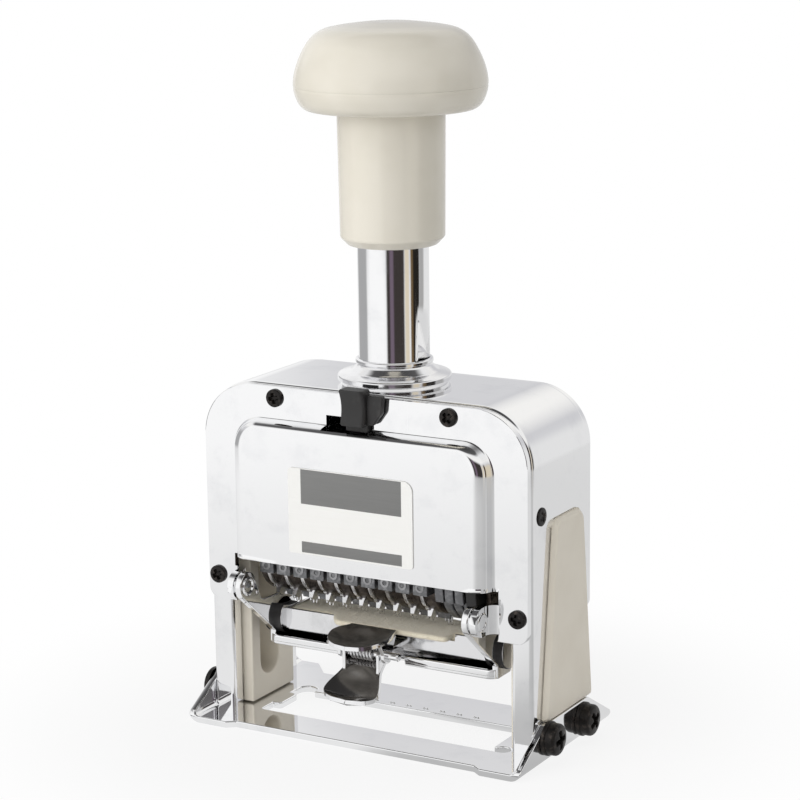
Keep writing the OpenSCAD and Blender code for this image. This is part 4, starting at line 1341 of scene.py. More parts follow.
@dataclass(frozen=True)
class ScrewHead:
    """Round screw head with a crossed recess, as a height over a round grid."""

    radius: float
    height: float
    dome: float = 0.25
    edge: float = 0.25
    arm: float = 0.6
    slit: float = 0.17
    depth: float = 0.7

    def grid(self, centre: Point, out: Point, turn: float) -> Array:
        """Points of the head.

        The height is the head's own less dome * (r / radius)^2 and less the recess, which is
        depth within the bars of a cross; the last rings roll over the edge and go down.

        Args:
            centre: middle of the seat.
            out: direction that the head looks along.
            turn: turn of the cross, in degrees.

        Returns:
            Array (rings, steps, 3).
        """
        n = unit(np.asarray(out, float))
        e1 = unit(np.cross(n, [0.0, 0.0, 1.0]) if abs(n[2]) < 0.9 else np.array([1.0, 0, 0]))
        e2 = np.cross(n, e1)
        angle = round_trip(72)[None]
        flat = np.linspace(0, 1, 26) ** 0.8 * (self.radius - self.edge)
        a = quarter(6)[1:]
        radius = np.concatenate([flat, self.radius - self.edge * (1 - np.sin(a)), [self.radius]])
        top = self.height - self.dome * (flat / self.radius) ** 2
        rolled = top[-1] - self.edge * (1 - np.cos(a))
        level = np.concatenate([top, rolled, [0.0]])
        u, v = radius[:, None] * np.cos(angle), radius[:, None] * np.sin(angle)
        bars = [
            (1 - ease(np.abs(p), self.arm * self.radius * 0.85, self.arm * self.radius))
            * (1 - ease(np.abs(q), self.slit * self.radius * 0.6, self.slit * self.radius * 1.25))
            for p, q in ((u, v), (v, u))
        ]
        inner = (radius < self.radius * 0.95)[:, None]
        h = level[:, None] - self.depth * np.maximum(*bars) * inner
        u, v = spun(u, v, turn)
        return np.asarray(centre, float) + u[..., None] * e1 + v[..., None] * e2 + h[..., None] * n


@dataclass
class Screws(Assembly):
    """All the black screws that show."""

    cover_face: float = 15.5
    top: tuple = (22.2, 77.55)
    side: tuple = (38.75, 34.3)
    side_wall: float = 41.7
    side_place: tuple = (-9.7, 56.3)
    flange: float = 43.3
    washer: float = 1.0
    low_z: float = 5.6
    cover_head: ScrewHead = ScrewHead(2.07, 0.95, 0.3, 0.3, 0.62, 0.2, 0.75)
    side_head: ScrewHead = ScrewHead(2.07, 0.4, 0.15, 0.15, 0.62, 0.2, 0.3)
    tall_head: ScrewHead = ScrewHead(3.6, 2.5, 0.55, 0.8, 0.62, 0.15, 1.3)
    low_head: ScrewHead = ScrewHead(3.9, 1.8, 0.6, 0.6, 0.6, 0.14, 1.0)

    def cover_set(self, side: int) -> Shape:
        """Four heads in front (side -1) or behind (side 1).

        Args:
            side: -1 or 1.

        Returns:
            The shape of the four.
        """
        shape = Shape()
        turns = iter((12, 41, 27, -8))
        for x, z in (self.top, self.side):
            for sign in (-1, 1):
                centre = (sign * x, side * self.cover_face, z)
                head = self.cover_head.grid(centre, (0, side, 0), next(turns))
                shape.grid(head, wrap_cols=True)
        return shape

    def build(self, shop: Workshop) -> None:
        """Cover screws, side screws and the four screws of the base."""
        for name, side in (("front_cover_screws", -1), ("back_cover_screws", 1)):
            shop.swap(self.cover_set(side).build(name + "_heads"), name, OXIDE)
        sides, right, left = Shape(), Shape(), Shape()
        for sign in (-1, 1):
            centre = (sign * self.side_wall, *self.side_place)
            sides.grid(self.side_head.grid(centre, (sign, 0, 0), 20 * sign), wrap_cols=True)
        shop.swap(sides.build("side_screw_heads"), "side_screws", OXIDE)
        seat, top = self.flange, self.flange + self.washer
        washer, _ = trace(
            [(1.8, seat), (3.9, seat), (3.9, top), (1.8, top)], [0, 0.3, 0.3, 0], 4, closed=True
        )
        for y, z, turn in ((-10.1, 6.3, 8), (7.4, 5.3, 33)):
            right.lathe(washer, Axis.X, (y, z), 48, closed=True)
            right.grid(self.tall_head.grid((top, y, z), (1, 0, 0), turn), wrap_cols=True)
        shop.swap(right.build("base_screws_tall"), "base_screws_right", OXIDE)
        for y, turn in ((-10.9, 15), (5.9, -20)):
            head = self.low_head.grid((-seat, y, self.low_z), (-1, 0, 0), turn)
            left.grid(head, wrap_cols=True)
        shop.swap(left.build("base_screws_low"), "base_screws_left", OXIDE)


@dataclass
class Base(Assembly):
    """Base plate and side guides, with their punched and moulded edges rounded."""

    marks: int = 9
    first: float = -26.1
    pitch: float = 4.466
    mark_y: float = 6.05
    mark_z: float = 1.45
    mark_r: float = 0.42
    rear_bar: tuple = ((-30, 5.6, 1.2), (25, 6.6, 1.61))
    wall_x: float = 41.6
    guide_foot: float = 5.6
    guide_rise: float = 48.9
    guide_half: float = 12.2
    guide_taper: float = 3.6

    def lean(self, guide: Piece) -> None:
        """Lean a guide's outer plate backwards.

        Outside the frame's wall a point moves by 1.3 - 0.8 h at the plate's back edge and by
        2 + 1.4 h at its front edge, h being its height from 0 at the foot to 1 at the top.

        Args:
            guide: the guide, already rounded.
        """
        co = places(guide.data) / MM
        h = np.clip((co[:, 2] - self.guide_foot) / self.guide_rise, 0, 1)
        back = np.clip(0.5 + co[:, 1] / (2 * (self.guide_half - self.guide_taper * h)), 0, 1)
        shift = (1 - back) * (2 + 1.4 * h) + back * (1.3 - 0.8 * h)
        co[:, 1] += shift * (np.abs(co[:, 0]) > self.wall_x)
        guide.data.vertices.foreach_set("co", (co * MM).ravel())

    def build(self, shop: Workshop) -> None:
        """Rounded copies of the CAD plate and guides, and raised marks on the rear bar."""
        shop.refine(CHROME, 0.32, "base_plate", segments=3, skip=self.rear_bar)
        for side in ("side_guide_left", "side_guide_right"):
            guide = soften(side, 0.4, segments=3, turn=35)
            self.lean(guide)
            shop.swap(guide, side, BEIGE)
        shape = Shape()
        a = quarter(5)
        dome = np.stack([self.mark_r * np.cos(a), self.mark_z + self.mark_r * np.sin(a)], 1)
        for i in range(self.marks):
            for shift in (0.25, 1.15):
                x = self.first + self.pitch * (i + 1.5) + shift
                shape.lathe(dome, Axis.Z, (x, self.mark_y), 16)
        shop.put(shape.build("base_marks", facing=(0, 0, 1)), "base_plate", CHROME)


@dataclass
class Handle(Assembly):
    """Collar, tube, sleeve and knob, all turned."""

    tube_r: float = 8.0
    tube_z: tuple = (52.2, 152.1)
    wall: float = 1.6
    slot_z: tuple = (54.6, 83.8)
    slot_turn: float = 22.5
    bore: float = 8.02
    collar_z: float = 80.5
    sleeve_z: tuple = (111.9, 141.8)
    split_z: float = 147.1
    knob_r: float = 21.5
    knob_top: float = 161.0

    def tube(self) -> Piece:
        """Thin tube with two slots low down: quads within the slots are left out.

        Returns:
            The piece.
        """
        z = np.array([self.tube_z[0], self.slot_z[0], 70, self.slot_z[1], 100, self.tube_z[1]])
        step = 3.75
        degrees = np.arange(0, 360, step)
        angle = np.radians(degrees)[:, None]
        points = Axis.Z.place(self.tube_r * np.cos(angle), self.tube_r * np.sin(angle), z)
        narrow = np.abs((degrees + step / 2 + 90) % 180 - 90) < self.slot_turn
        keep = np.ones(points.shape[:2], bool)
        keep[np.ix_(narrow, [1, 2])] = False
        shape = Shape().grid(points, wrap_rows=True, keep=keep)
        return thicken(shape.build("plunger_tube_polished"), self.wall)

    def collar(self) -> Piece:
        """Flange with a rounded rim, a hollow cone and a small bead at the tube.

        Returns:
            The piece.
        """
        z = self.collar_z
        corners = [
            (8.05, z - 4.6), (9.5, z - 4.6), (9.5, z), (12.1, z), (12.25, z + 0.75),
            (12.85, z + 0.85), (12.85, z + 2.1), (11.6, z + 2.45), (9.9, z + 2.85),
            (8.6, z + 4.1), (8.35, z + 4.5), (8.8, z + 4.8), (8.75, z + 5.6), (8.05, z + 5.7),
        ]
        radii = [0, 0, 0.05, 0.1, 0.05, 0.25, 0.5, 0.9, 1.6, 0.9, 0.12, 0.3, 0.3, 0]
        line, _ = trace(corners, radii, 6, closed=True, guard=0.02)
        return Shape().lathe(line, steps=128, closed=True).build("collar_turned", 50)

    def sleeve(self) -> Piece:
        """Slightly widening sleeve with a rolled foot.

        Returns:
            The piece.
        """
        z0, z1 = self.sleeve_z
        corners = [
            (self.bore, z0), (10.0, z0), (11.72, z0 + 1.75), (12.05, z1), (self.bore, z1)
        ]
        line, _ = trace(corners, [0.05, 0.7, 0.9, 0, 0], 8, closed=True, guard=0.1)
        return Shape().lathe(line, steps=144, closed=True).build("handle_sleeve_turned", 60)

    def knob(self, shop: Workshop) -> None:
        """Knob in two halves that meet at a fine parting line.

        Args:
            shop: the workshop that dresses it.
        """
        r, z, top = self.knob_r, self.split_z, self.knob_top
        below = curve_through(
            [(r - 4.0, z - 5.3), (r - 2.7, z - 5.12), (r - 1.5, z - 4.2), (r - 0.62, z - 2.6),
             (r - 0.12, z - 0.9), (r - 0.05, z - 0.1), (r - 0.09, z - 0.01)], 40)
        below[:, 0] = np.minimum(below[:, 0], r - 0.05)
        below = np.concatenate([[(self.bore, z - 5.3)], below, [(self.bore, z - 0.01)]])
        low = Shape().lathe(below, steps=144, closed=True).build("knob_lower_turned", 60)
        shop.swap(weigh(low), "knob_lower", IVORY)
        above = curve_through(
            [(r - 0.05, z + 0.01), (r, z + 0.12), (r - 0.03, z + 1.2), (r - 0.4, z + 3.3),
             (r - 1.15, z + 5.6), (r - 2.25, z + 7.9), (r - 3.5, z + 9.9), (r - 4.9, z + 11.3),
             (r - 6.6, z + 12.25), (r - 9.2, top - 1.0), (r - 13, top - 0.45),
             (5, top - 0.08), (0, top)], 110)
        above = np.minimum(above, [r, top])
        above = np.concatenate([[(13, z + 0.01)], above])
        high = Shape().lathe(above, steps=160).build("knob_upper_turned", 60, (0, 0, 1))
        shop.swap(high, "knob_upper", IVORY)

    def build(self, shop: Workshop) -> None:
        """Every turned part of the handle."""
        shop.swap(self.collar(), "top_collar", SCUFFED_AND_RIM_HIGHLIGHT_CHROME)
        shop.swap(self.tube(), "plunger_tube", CALM_CHROME)
        shop.swap(self.sleeve(), "handle_sleeve", IVORY)
        self.knob(shop)
        shop.dress(STEEL, "collar_nut", "tube_plug", "tube_nut")


@dataclass
class Lock(Assembly):
    """Black lever that holds the plunger down, moulded with a hollow thumb pad and a wing."""

    x0: float = -3.3
    x1: float = 2.8
    z0: float = 73.9
    z1: float = 82.1
    face: float = 15.8

    def pad(self) -> Array:
        """Closed grid of the thumb pad: a rounded box whose front is hollowed from top to foot.

        Returns:
            Array (rows, cols, 3).
        """
        corners = [
            (self.x0, self.face), (self.x1, self.face), (self.x1, self.face + 4.0),
            (self.x0, self.face + 4.0),
        ]
        line, _ = trace(corners, [0.2, 0.2, 0.8, 0.55], 5, closed=True, guard=0.05)
        t = np.array([0, 0.02, 0.06, 0.12, 0.25, 0.4, 0.55, 0.7, 0.85, 0.94, 0.98, 1.0])
        z = self.z0 + (self.z1 - self.z0) * t
        front = (line[:, 1] > self.face + 1.5)[None]
        hollow = 1.1 * np.sin(math.pi * t) ** 0.8
        lean = 0.5 * (1 - t)
        out = line[None, :, 1] - front * (hollow + lean)[:, None]
        edge = 1 - np.minimum(1, np.minimum(t, 1 - t) / 0.06)
        mid = np.array([(self.x0 + self.x1) / 2, self.face + 1.6])
        x = line[None, :, 0] + (mid[0] - line[None, :, 0]) * 0.12 * edge[:, None] ** 2
        out = out + (mid[1] - out) * 0.16 * edge[:, None] ** 2
        return Axis.Y.place(x, z[:, None], -out)

    def build(self, shop: Workshop) -> None:
        """Pad, wing and stem in one moulding; the keeper behind keeps its CAD shape."""
        shape = Shape().grid(self.pad(), wrap_cols=True, caps=True)
        wing = [
            (self.x0 + 1, self.z0 + 0.2), (self.x1 + 1.4, self.z0 + 0.2),
            (self.x1 + 3.5, self.z0 + 3.0), (self.x1 + 3.9, self.z1 - 1.3),
            (self.x0 + 1, self.z1 - 1.3),
        ]
        shape.plate(wing, [0.1, 0.9, 1.6, 0.4, 0.1], -self.face - 1.5, -self.face, Axis.Y, 0.25)
        stem = [(self.x0 + 0.4, 72.3), (self.x1 - 0.1, 72.3), (self.x1 - 0.1, 74.9),
                (self.x0 + 0.4, 74.9)]
        shape.plate(stem, 0.3, -self.face - 1.2, -12.1, Axis.Y, 0.2)
        shop.swap(weigh(shape.build("lock_lever_moulded", 45)), "lock_lever", BLACK)
        shop.dress(BLACK, "lock_slide")


@dataclass
class NumberWheels(Assembly):
    """Ten wheels: browned body, bright ratchet disc, nine type blocks, figures and a zero."""

    count: int = 10
    first: float = -26.1
    pitch: float = 4.466
    y: float = -1.9
    z: float = 38.6
    step: float = 30.0
    root_r: float = 12.8
    face_r: float = 13.0
    hub_r: float = 9.6
    ratchet_r: float = 10.1
    bore_r: float = 3.05
    disc: float = 0.9
    gap: float = 0.3
    block: tuple = (3.75, 5.4)
    figure_size: tuple = (3.6, 3.8)
    pin_r: float = 0.34

    def centre(self, i: int) -> float:
        """Place of wheel i along X."""
        return self.first + self.pitch * i

    def turned(self, points: Array, degrees: float) -> Array:
        """Points turned about the axle towards the front, degrees from the bottom."""
        y, z = spun(points[..., 1] - self.y, points[..., 2] - self.z, -degrees)
        return Axis.X.place(self.y + y, self.z + z, points[..., 0])

    def block_places(self) -> list[tuple[int, str]]:
        """Block places, counted towards the front from the bottom, with their figures."""
        return [(k, str(12 - k)) for k in range(3, 12)]

    def body(self, i: int) -> Piece:
        """Turned body with nine blocks standing on it and the zero's drawn in to the hub.

        Args:
            i: number of the wheel, from 0.

        Returns:
            The piece.
        """
        x, half = self.centre(i), (self.pitch - self.gap) / 2
        ring = np.array([
            (self.bore_r, x - half + self.disc), (self.hub_r, x - half + self.disc),
            (self.hub_r, x + half - 0.5), (self.hub_r - 0.5, x + half), (self.bore_r, x + half),
        ])
        shape = Shape().lathe(ring, Axis.X, (self.y, self.z), 72, closed=True)
        w, h = self.block
        for k, _ in self.block_places():
            block = Shape().block(
                (x - w / 2, self.y - h / 2, self.z - self.root_r),
                (x + w / 2, self.y + h / 2, self.z - self.hub_r + 0.8), 0.06,
            )
            shape.add(self.turned(block.points[0], k * self.step), block.faces)
        shape.block(
            (x - w / 2, self.y - h / 2 + 0.5, self.z - self.ratchet_r - 0.7),
            (x + w / 2, self.y + h / 2, self.z - self.hub_r + 0.8), 0.3,
        )
        piece = shape.build(f"number_wheel_{i + 1}_body", 30)
        return round_edges(piece, 0.14, 2, 40)

    def ratchet(self, i: int) -> Piece:
        """Thin disc with twelve scallops: its radius is the smaller of its own and the cut's.

        Args:
            i: number of the wheel, from 0.

        Returns:
            The piece.
        """
        x = self.centre(i) - (self.pitch - self.gap) / 2
        angle = np.radians(np.arange(0, 360, 1.5))
        off = np.radians((np.degrees(angle) % self.step) - self.step / 2)
        reach = (self.ratchet_r + 0.7) * np.sin(off)
        cut = (self.ratchet_r + 0.7) * np.cos(off) - np.sqrt(np.maximum(0, 1 - reach**2))
        radius = np.where(np.abs(reach) < 1, np.minimum(self.ratchet_r, cut), self.ratchet_r)
        draw = np.array([0.12, 0.03, 0, 0, 0.03, 0.12])
        along = np.array([0, 0.03, 0.12, self.disc - 0.12, self.disc - 0.03, self.disc]) + x
        bore = np.full((len(angle), 1), self.bore_r)
        r = np.concatenate([bore, radius[:, None] - draw, bore], 1)
        height = np.concatenate([[x], along, [x + self.disc]])
        turned = angle[:, None] + math.pi
        points = Axis.X.place(self.y + r * np.sin(turned), self.z + r * np.cos(turned), height)
        return Shape().grid(points, wrap_rows=True, wrap_cols=True).build(
            f"number_wheel_{i + 1}_ratchet", 50
        )

    def figure(self, letter: str) -> tuple[Array, list]:
        """Solid figure from the built-in face, 1 mm high over its own middle.

        Args:
            letter: the numeral.

        Returns:
            Its points, with height 0 to 1 along Z, and its faces.
        """
        text = bpy.data.curves.new("figure", "FONT")
        text.body = letter
        text.extrude = 0.5
        text.resolution_u = 3
        holder = bpy.data.objects.new("figure", text)
        bpy.context.scene.collection.objects.link(holder)
        mesh = worked_out(holder)
        points = places(mesh)
        faces = [list(p.vertices) for p in mesh.polygons]
        bpy.data.curves.remove(text)
        bpy.data.meshes.remove(mesh)
        low, high = points.min(0), points.max(0)
        points = (points - (low + high) / 2) / (high[1] - low[1])
        points[:, 2] = (points[:, 2] > 0).astype(float)
        return points, faces

    def figure_on(self, i: int, k: int, solid: tuple, low: float, high: float) -> tuple:
        """One raised figure wrapped round wheel i at place k, from radius low to high.

        Along the wheel's edge the angle is height / high, across it the width is kept.

        Args:
            i: number of the wheel, from 0.
            k: place on the wheel.
            solid: the figure's points and faces.
            low: radius of its foot.
            high: radius of its face.

        Returns:
            The points in the machine's frame, and the faces.
        """
        points, faces = solid
        size, tall = self.figure_size
        wide = max(1.0, np.ptp(points[:, 0]) * size / 2.7)
        x = self.centre(i) + points[:, 0] * size / wide
        along = points[:, 1] * tall / high - math.radians(k * self.step)
        radius = low + points[:, 2] * (high - low)
        y, z = self.y + radius * np.sin(along), self.z - radius * np.cos(along)
        return np.stack([x, y, z], 1), faces

    def figures(self, i: int, solids: dict) -> Piece:
        """Raised figures of wheel i on its standing blocks.

        Args:
            i: number of the wheel, from 0.
            solids: solid of each numeral.

        Returns:
            The piece.
        """
        shape = Shape()
        for k, letter in self.block_places():
            shape.add(*self.figure_on(i, k, solids[letter], self.root_r - 0.25, self.face_r))
        return shape.build(f"number_wheel_{i + 1}_figures", 30)

    def zero(self, i: int) -> Piece:
        """Polished stop at the blank place, and the high points of the drawn-in zero.

        The points are domed pins, round a quarter circle at their tips, in a slanting row.

        Args:
            i: number of the wheel, from 0.

        Returns:
            The piece.
        """
        x, y, z = self.centre(i), self.y, self.z
        shape = Shape()
        stop = Shape().block((x - 1.85, y - 1.5, z - 11.2), (x - 0.3, y + 1.3, z - 9.3), 0.35)
        shape.add(self.turned(stop.points[0], self.step), stop.faces)
        a, r = quarter(5), self.pin_r
        for t in (0.0, 0.25, 0.5, 0.75, 1.0):
            foot = z - 11.15 - 0.95 * t
            tip = np.stack([r * np.sin(a), foot - r * np.cos(a)], 1)
            pin = np.concatenate([tip, [(r, z - 10.2), (0, z - 10.2)]])
            stagger = 0.35 * (-1) ** round(4 * t)
            shape.lathe(pin, Axis.Z, (x - 0.1 + 1.6 * t, y - 1.2 + stagger), 18)
        return shape.build(f"number_wheel_{i + 1}_zero", 50)

    def build(self, shop: Workshop) -> None:
        """All ten wheels, the plain cams and the spacer beside them."""
        solids = {letter: self.figure(letter) for letter in "123456789"}
        for i in range(self.count):
            node = f"number_wheel_{i + 1}"
            body = shop.swap(self.body(i), node, BROWNED)
            paint_blocks(body, shop.material(TYPE), (self.y, self.z), self.hub_r + 0.15)
            shop.put(self.ratchet(i), node, RUBBED_STEEL)
            shop.put(self.figures(i, solids), node, FIGURE_STEEL)
            shop.put(self.zero(i), node, BRIGHT_STEEL)
        shop.refine(TYPE, 0.3, "repeat_cams", turn=40)
        shop.refine(BLACK, 0.3, "cam_spacer", turn=40)


def paint_blocks(piece: Piece, material: bpy.types.Material, centre: Point, radius: float) -> None:
    """Give faces that lie further than radius from the axle a second material.

    Args:
        piece: the piece.
        material: the second material.
        centre: (y, z) of the axle.
        radius: the radius, in mm.
    """
    mesh = piece.data
    mesh.materials.append(material)
    middle = np.zeros(len(mesh.polygons) * 3)
    mesh.polygons.foreach_get("center", middle)
    middle = middle.reshape(-1, 3) / MM
    away = np.hypot(middle[:, 1] - centre[0], middle[:, 2] - centre[1])
    mesh.polygons.foreach_set("material_index", (away > radius).astype(np.int32))


@dataclass
class Head(Assembly):
    """The rest of the printing head and what carries it inside the frame."""

    seat_z: float = 58.0
    plug_z: float = 148.1
    stroke: float = 25.4
    coil_z: tuple = (58.75, 147.3)
    coil_r: float = 5.05
    coil_turns: int = 15
    wire: float = 0.7

    def build(self, shop: Workshop) -> None:
        """Rounded copies of the plates and bars; small hidden pieces keep their CAD shape."""
        shop.refine(STEEL, 0.25, "head_bridge", "spring_seat_bar", turn=40)
        shop.refine(BROWNED, 0.2, "head_plate_left", "head_plate_right", turn=40)
        shop.refine(BEIGE, 0.25, "guide_shoe_left", "guide_shoe_right", turn=40)
        shop.refine(OXIDE, 0.2, "axle_nuts", turn=40)
        shop.dress(STEEL, "spring_guide_rod", "pawl_shaft", "detent_comb", "feed_pawl_comb")
        shop.dress(BRIGHT_STEEL, "wheel_axle")
        shop.dress(OXIDE, "head_screws")
        self.spring(shop)

    def spring(self, shop: Workshop) -> None:
        """Coil spring: a helix whose closed ends lie flat on its seats.

        Args:
            shop: the workshop that dresses it.
        """
        low, high = self.coil_z
        s = np.linspace(0, 1, self.coil_turns * 26)
        run = ease(s, -0.12, 1.12)
        rise = low + (high - low) * (run - run[0]) / (run[-1] - run[0])
        a = s * self.coil_turns * 2 * math.pi
        path = Axis.Z.place(self.coil_r * np.cos(a), self.coil_r * np.sin(a), rise)
        piece = Shape().tube(path, self.wire, 8).build("main_spring_coil", 60)
        shop.put(piece, "spring_seat_bar", STEEL, ["main_spring"])
        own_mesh(piece)


@dataclass
class InkTray(Assembly):
    """Tray with its arms and lip, the pad's dish and bosses, hinge rivets and the felt."""

    hinge: tuple = (-19.0, 33.6)
    eye_r: float = 3.3
    boss: tuple = (-4.2, 23.0)
    axle: tuple = (-1.9, 38.6)
    swept_r: float = 13.45
    cap_r: float = 4.1
    arm_r: float = 5.6
    floor_w: float = 29.99
    front_y: float = -8.9
    rear_y: float = -1.8
    cutout: tuple = (-8.1, 6.5)
    half_w: float = 25.9
    y0: float = -5.0
    y1: float = 4.3
    pad_z: float = 25.3
    pad_t: float = 2.9
    tongue: tuple = (-13.0, 17.6)
    tongue_y: float = -9.2
    voxel: float = 0.34
    floor_z: float = 17.0
    sheet: float = 1.1
    lip_z: tuple = (17.3, 19.2)
    arm_x: tuple = (-30.0, 28.4)
    arm_sheet: float = 1.6
    cap_x: tuple = (-26.8, 31.2)

    def felt(self) -> Piece:
        """Felt pad with a tongue in front.

        A rounded outline is drawn in near both faces, remeshed to an even skin, then every
        point moves by a seeded ripple, and the top is crowned by 1 - (x / half)^4.

        Returns:
            The piece.
        """
        w, (t0, t1) = self.half_w, self.tongue
        corners = [
            (-w, self.y0), (t0 - 1.4, self.y0), (t0 + 1.4, self.tongue_y), (t1, self.tongue_y),
            (t1, self.y0), (w, self.y0), (w, self.y1), (-w, self.y1),
        ]
        radii = [0.8, 2.2, 2.6, 1.3, 1.0, 0.8, 0.8, 0.8]
        line, tangents = trace(corners, radii, 7, closed=True, guard=0.1)
        normals = outward(tangents, line)
        draw = np.array([0.5, 0.12, 0.0, 0.0, 0.15, 0.42, 0.8])
        up = np.array([0, 0.15, 0.45, 0.75, 0.9, 0.97, 1.0])
        foot = np.where(line[:, 1] < self.y0 - 0.3, self.pad_z - 1.4, self.pad_z - self.pad_t)
        z = foot[None] + (self.pad_z - 0.05 - foot)[None] * up[:, None]
        ring = line[None] - normals[None] * draw[:, None, None]
        points = np.concatenate([ring, z[..., None]], -1)
        rough = Shape().grid(points, wrap_cols=True, caps=True).build("felt_raw", 60)
        remesh = rough.modifiers.new("even", "REMESH")
        remesh.mode = "VOXEL"
        remesh.voxel_size = self.voxel * MM
        mesh = worked_out(rough)
        co = places(mesh) / MM
        top = ease(co[:, 2], self.pad_z - 0.6, self.pad_z)
        wave = 0.07 * ripple(co, 1.6, 3) + 0.045 * ripple(co, 0.55, 5)
        crown = 0.12 * (1 - np.clip(co[:, 0] / w, -1, 1) ** 4)
        co[:, 2] += top * (wave + crown - 0.1)
        front = ease(-co[:, 1], -self.y0 - 0.2, -self.y0 + 0.4)
        co[:, 1] += (1 - top) * front * 0.12 * ripple(co, 1.1, 9)
        mesh.vertices.foreach_set("co", (co * MM).ravel())
        mesh.materials.clear()
        return settle("felt_pad_wool", mesh, 180)

    def rivets(self) -> Piece:
        """Hollow rivets of the two hinges, with a rolled bead round a sunk middle.

        Returns:
            The piece.
        """
        corners = [
            (0, 31.6), (1.2, 31.6), (1.6, 32.3), (2.25, 32.1), (2.2, 31.0),
            (2.2, 28.15), (1.7, 27.95), (1.2, 28.6), (0, 28.6),
        ]
        line, _ = trace(corners, [0.3, 0.35, 0.35, 0.1, 0.2, 0.3, 0.3], 6, guard=0.03)
        shape = Shape()
        for side in (-1, 1):
            shape.lathe(line * [1, side], Axis.X, self.hinge, 72)
        return shape.build("hinge_rivets", 60)

    def caps(self) -> Piece:
        """Bright discs on the bosses' right faces, hollowed where the wheels turn.

        The edge is a circle, drawn in to where its ray meets the circle the wheels sweep.

        Returns:
            The piece.
        """
        away = np.array(self.boss) - self.axle
        a = round_trip(60)
        ray = np.stack([np.cos(a), np.sin(a)], 1)
        along = ray @ away
        under = along**2 - (away @ away - self.swept_r**2)
        meet = np.where((under > 0) & (along < 0), -along - np.sqrt(np.maximum(under, 0)), 9.0)
        line = np.array(self.boss) + ray * np.minimum(self.cap_r, meet)[:, None]
        shape = Shape()
        for face in self.cap_x:
            shape.slab(line, tangents_of(line), face - 0.3, face + 0.12, Axis.X, 0.06)
        return shape.build("pad_end_caps", 50)

    def arm_line(self) -> tuple[Array, Array]:
        """Outline of one arm in YZ, and its tangents.

        Dense points follow the eye's circle from the arm's front edge over its top, then the
        boss's circle from its top down its back; straight and filleted sides join them.

        Returns:
            Points (n, 2) and unit tangents (n, 2).
        """
        hinge, boss = np.array(self.hinge), np.array(self.boss)
        a, b = np.radians(np.linspace(229, 37, 25)), np.radians(np.linspace(90, -56, 21))
        eye = hinge + self.eye_r * np.stack([np.cos(a), np.sin(a)], 1)
        back = boss + self.arm_r * np.stack([np.cos(b), np.sin(b)], 1)
        bend, _ = trace([eye[-1], (-13.6, 29.0), back[0]], 2.0, 6, guard=0.0)
        foot, _ = trace([back[-1], (-1.8, 17.0), (-7.9, 17.0), (-7.9, 20.1), eye[0]], 0.5, 4)
        line = np.concatenate([eye, bend[1:-1], back, foot[1:-1]])
        return line, tangents_of(line)

    def floor(self) -> Shape:
        """Floor with its cut-out for the finger plate, and a rounded lip on three sides.

        Returns:
            The shape.
        """
        w, (c0, c1), (f, r) = self.floor_w, self.cutout, (self.front_y, self.rear_y)
        low, t = self.floor_z, self.sheet
        shape = Shape().plate(
            [(-w, r), (-w, f), (c0, f), (c0, f + 2.6), (c1, f + 2.6), (c1, f), (w, f), (w, r)],
            [0.2, 2.4, 0.4, 0.5, 0.5, 0.4, 2.4, 0.2], low, low + t, Axis.Z, 0.3,
        )
        for side, end in ((-1, c0), (1, c1)):
            x = side * w
            inner = x - side * t
            lip = [(x, r), (x, f), (end, f), (end, f + t), (inner, f + t), (inner, r)]
            shape.plate(lip, [0.2, 2.4, 0.3, 0.3, 1.3, 0.2], *self.lip_z, Axis.Z, 0.45)
        return shape

    def tray(self) -> Piece:
        """Floor, lip and two arms whose outline is that of the CAD arms.

        Returns:
            The piece.
        """
        shape = self.floor()
        line, tangents = self.arm_line()
        for low in self.arm_x:
            shape.slab(line, tangents, low, low + self.arm_sheet, Axis.X, 0.28)
        return weigh(shape.build("ink_tray_pressed", 40))

    def channel_shadow(self) -> Piece:
        """Dark film along the channel between lip and holder: painted shadow in the channel.

        Returns:
            The piece.
        """
        shape = Shape()
        for x0, x1 in ((-28.8, self.cutout[0] - 0.1), (self.cutout[1] + 0.1, 28.8)):
            shape.block((x0, self.front_y + 1.15, 18.05), (x1, -5.85, 18.16))
        return shape.build("tray_channel_painted_shadow", 30)

    def build(self, shop: Workshop) -> None:
        """Every piece of the tray but the finger levers."""
        shop.swap(self.tray(), "ink_tray", CHROME)
        # Near-black film on the channel's floor: painted shadow under the holder's edge.
        shop.put(self.channel_shadow(), "ink_tray", SHADOW_PAINTED_CHROME)
        shop.refine(SCUFFED_AND_RIM_HIGHLIGHT_CHROME, 0.12, "pad_holder", turn=40)
        shop.swap(self.rivets(), "tray_hinge_pins", CALM_CHROME)
        shop.refine(BLACK, 0.15, "pad_end_bosses", turn=40)
        shop.put(self.caps(), "pad_holder", SCUFFED_AND_RIM_HIGHLIGHT_CHROME)
        felt = shop.swap(self.felt(), "felt_pad", FELT)


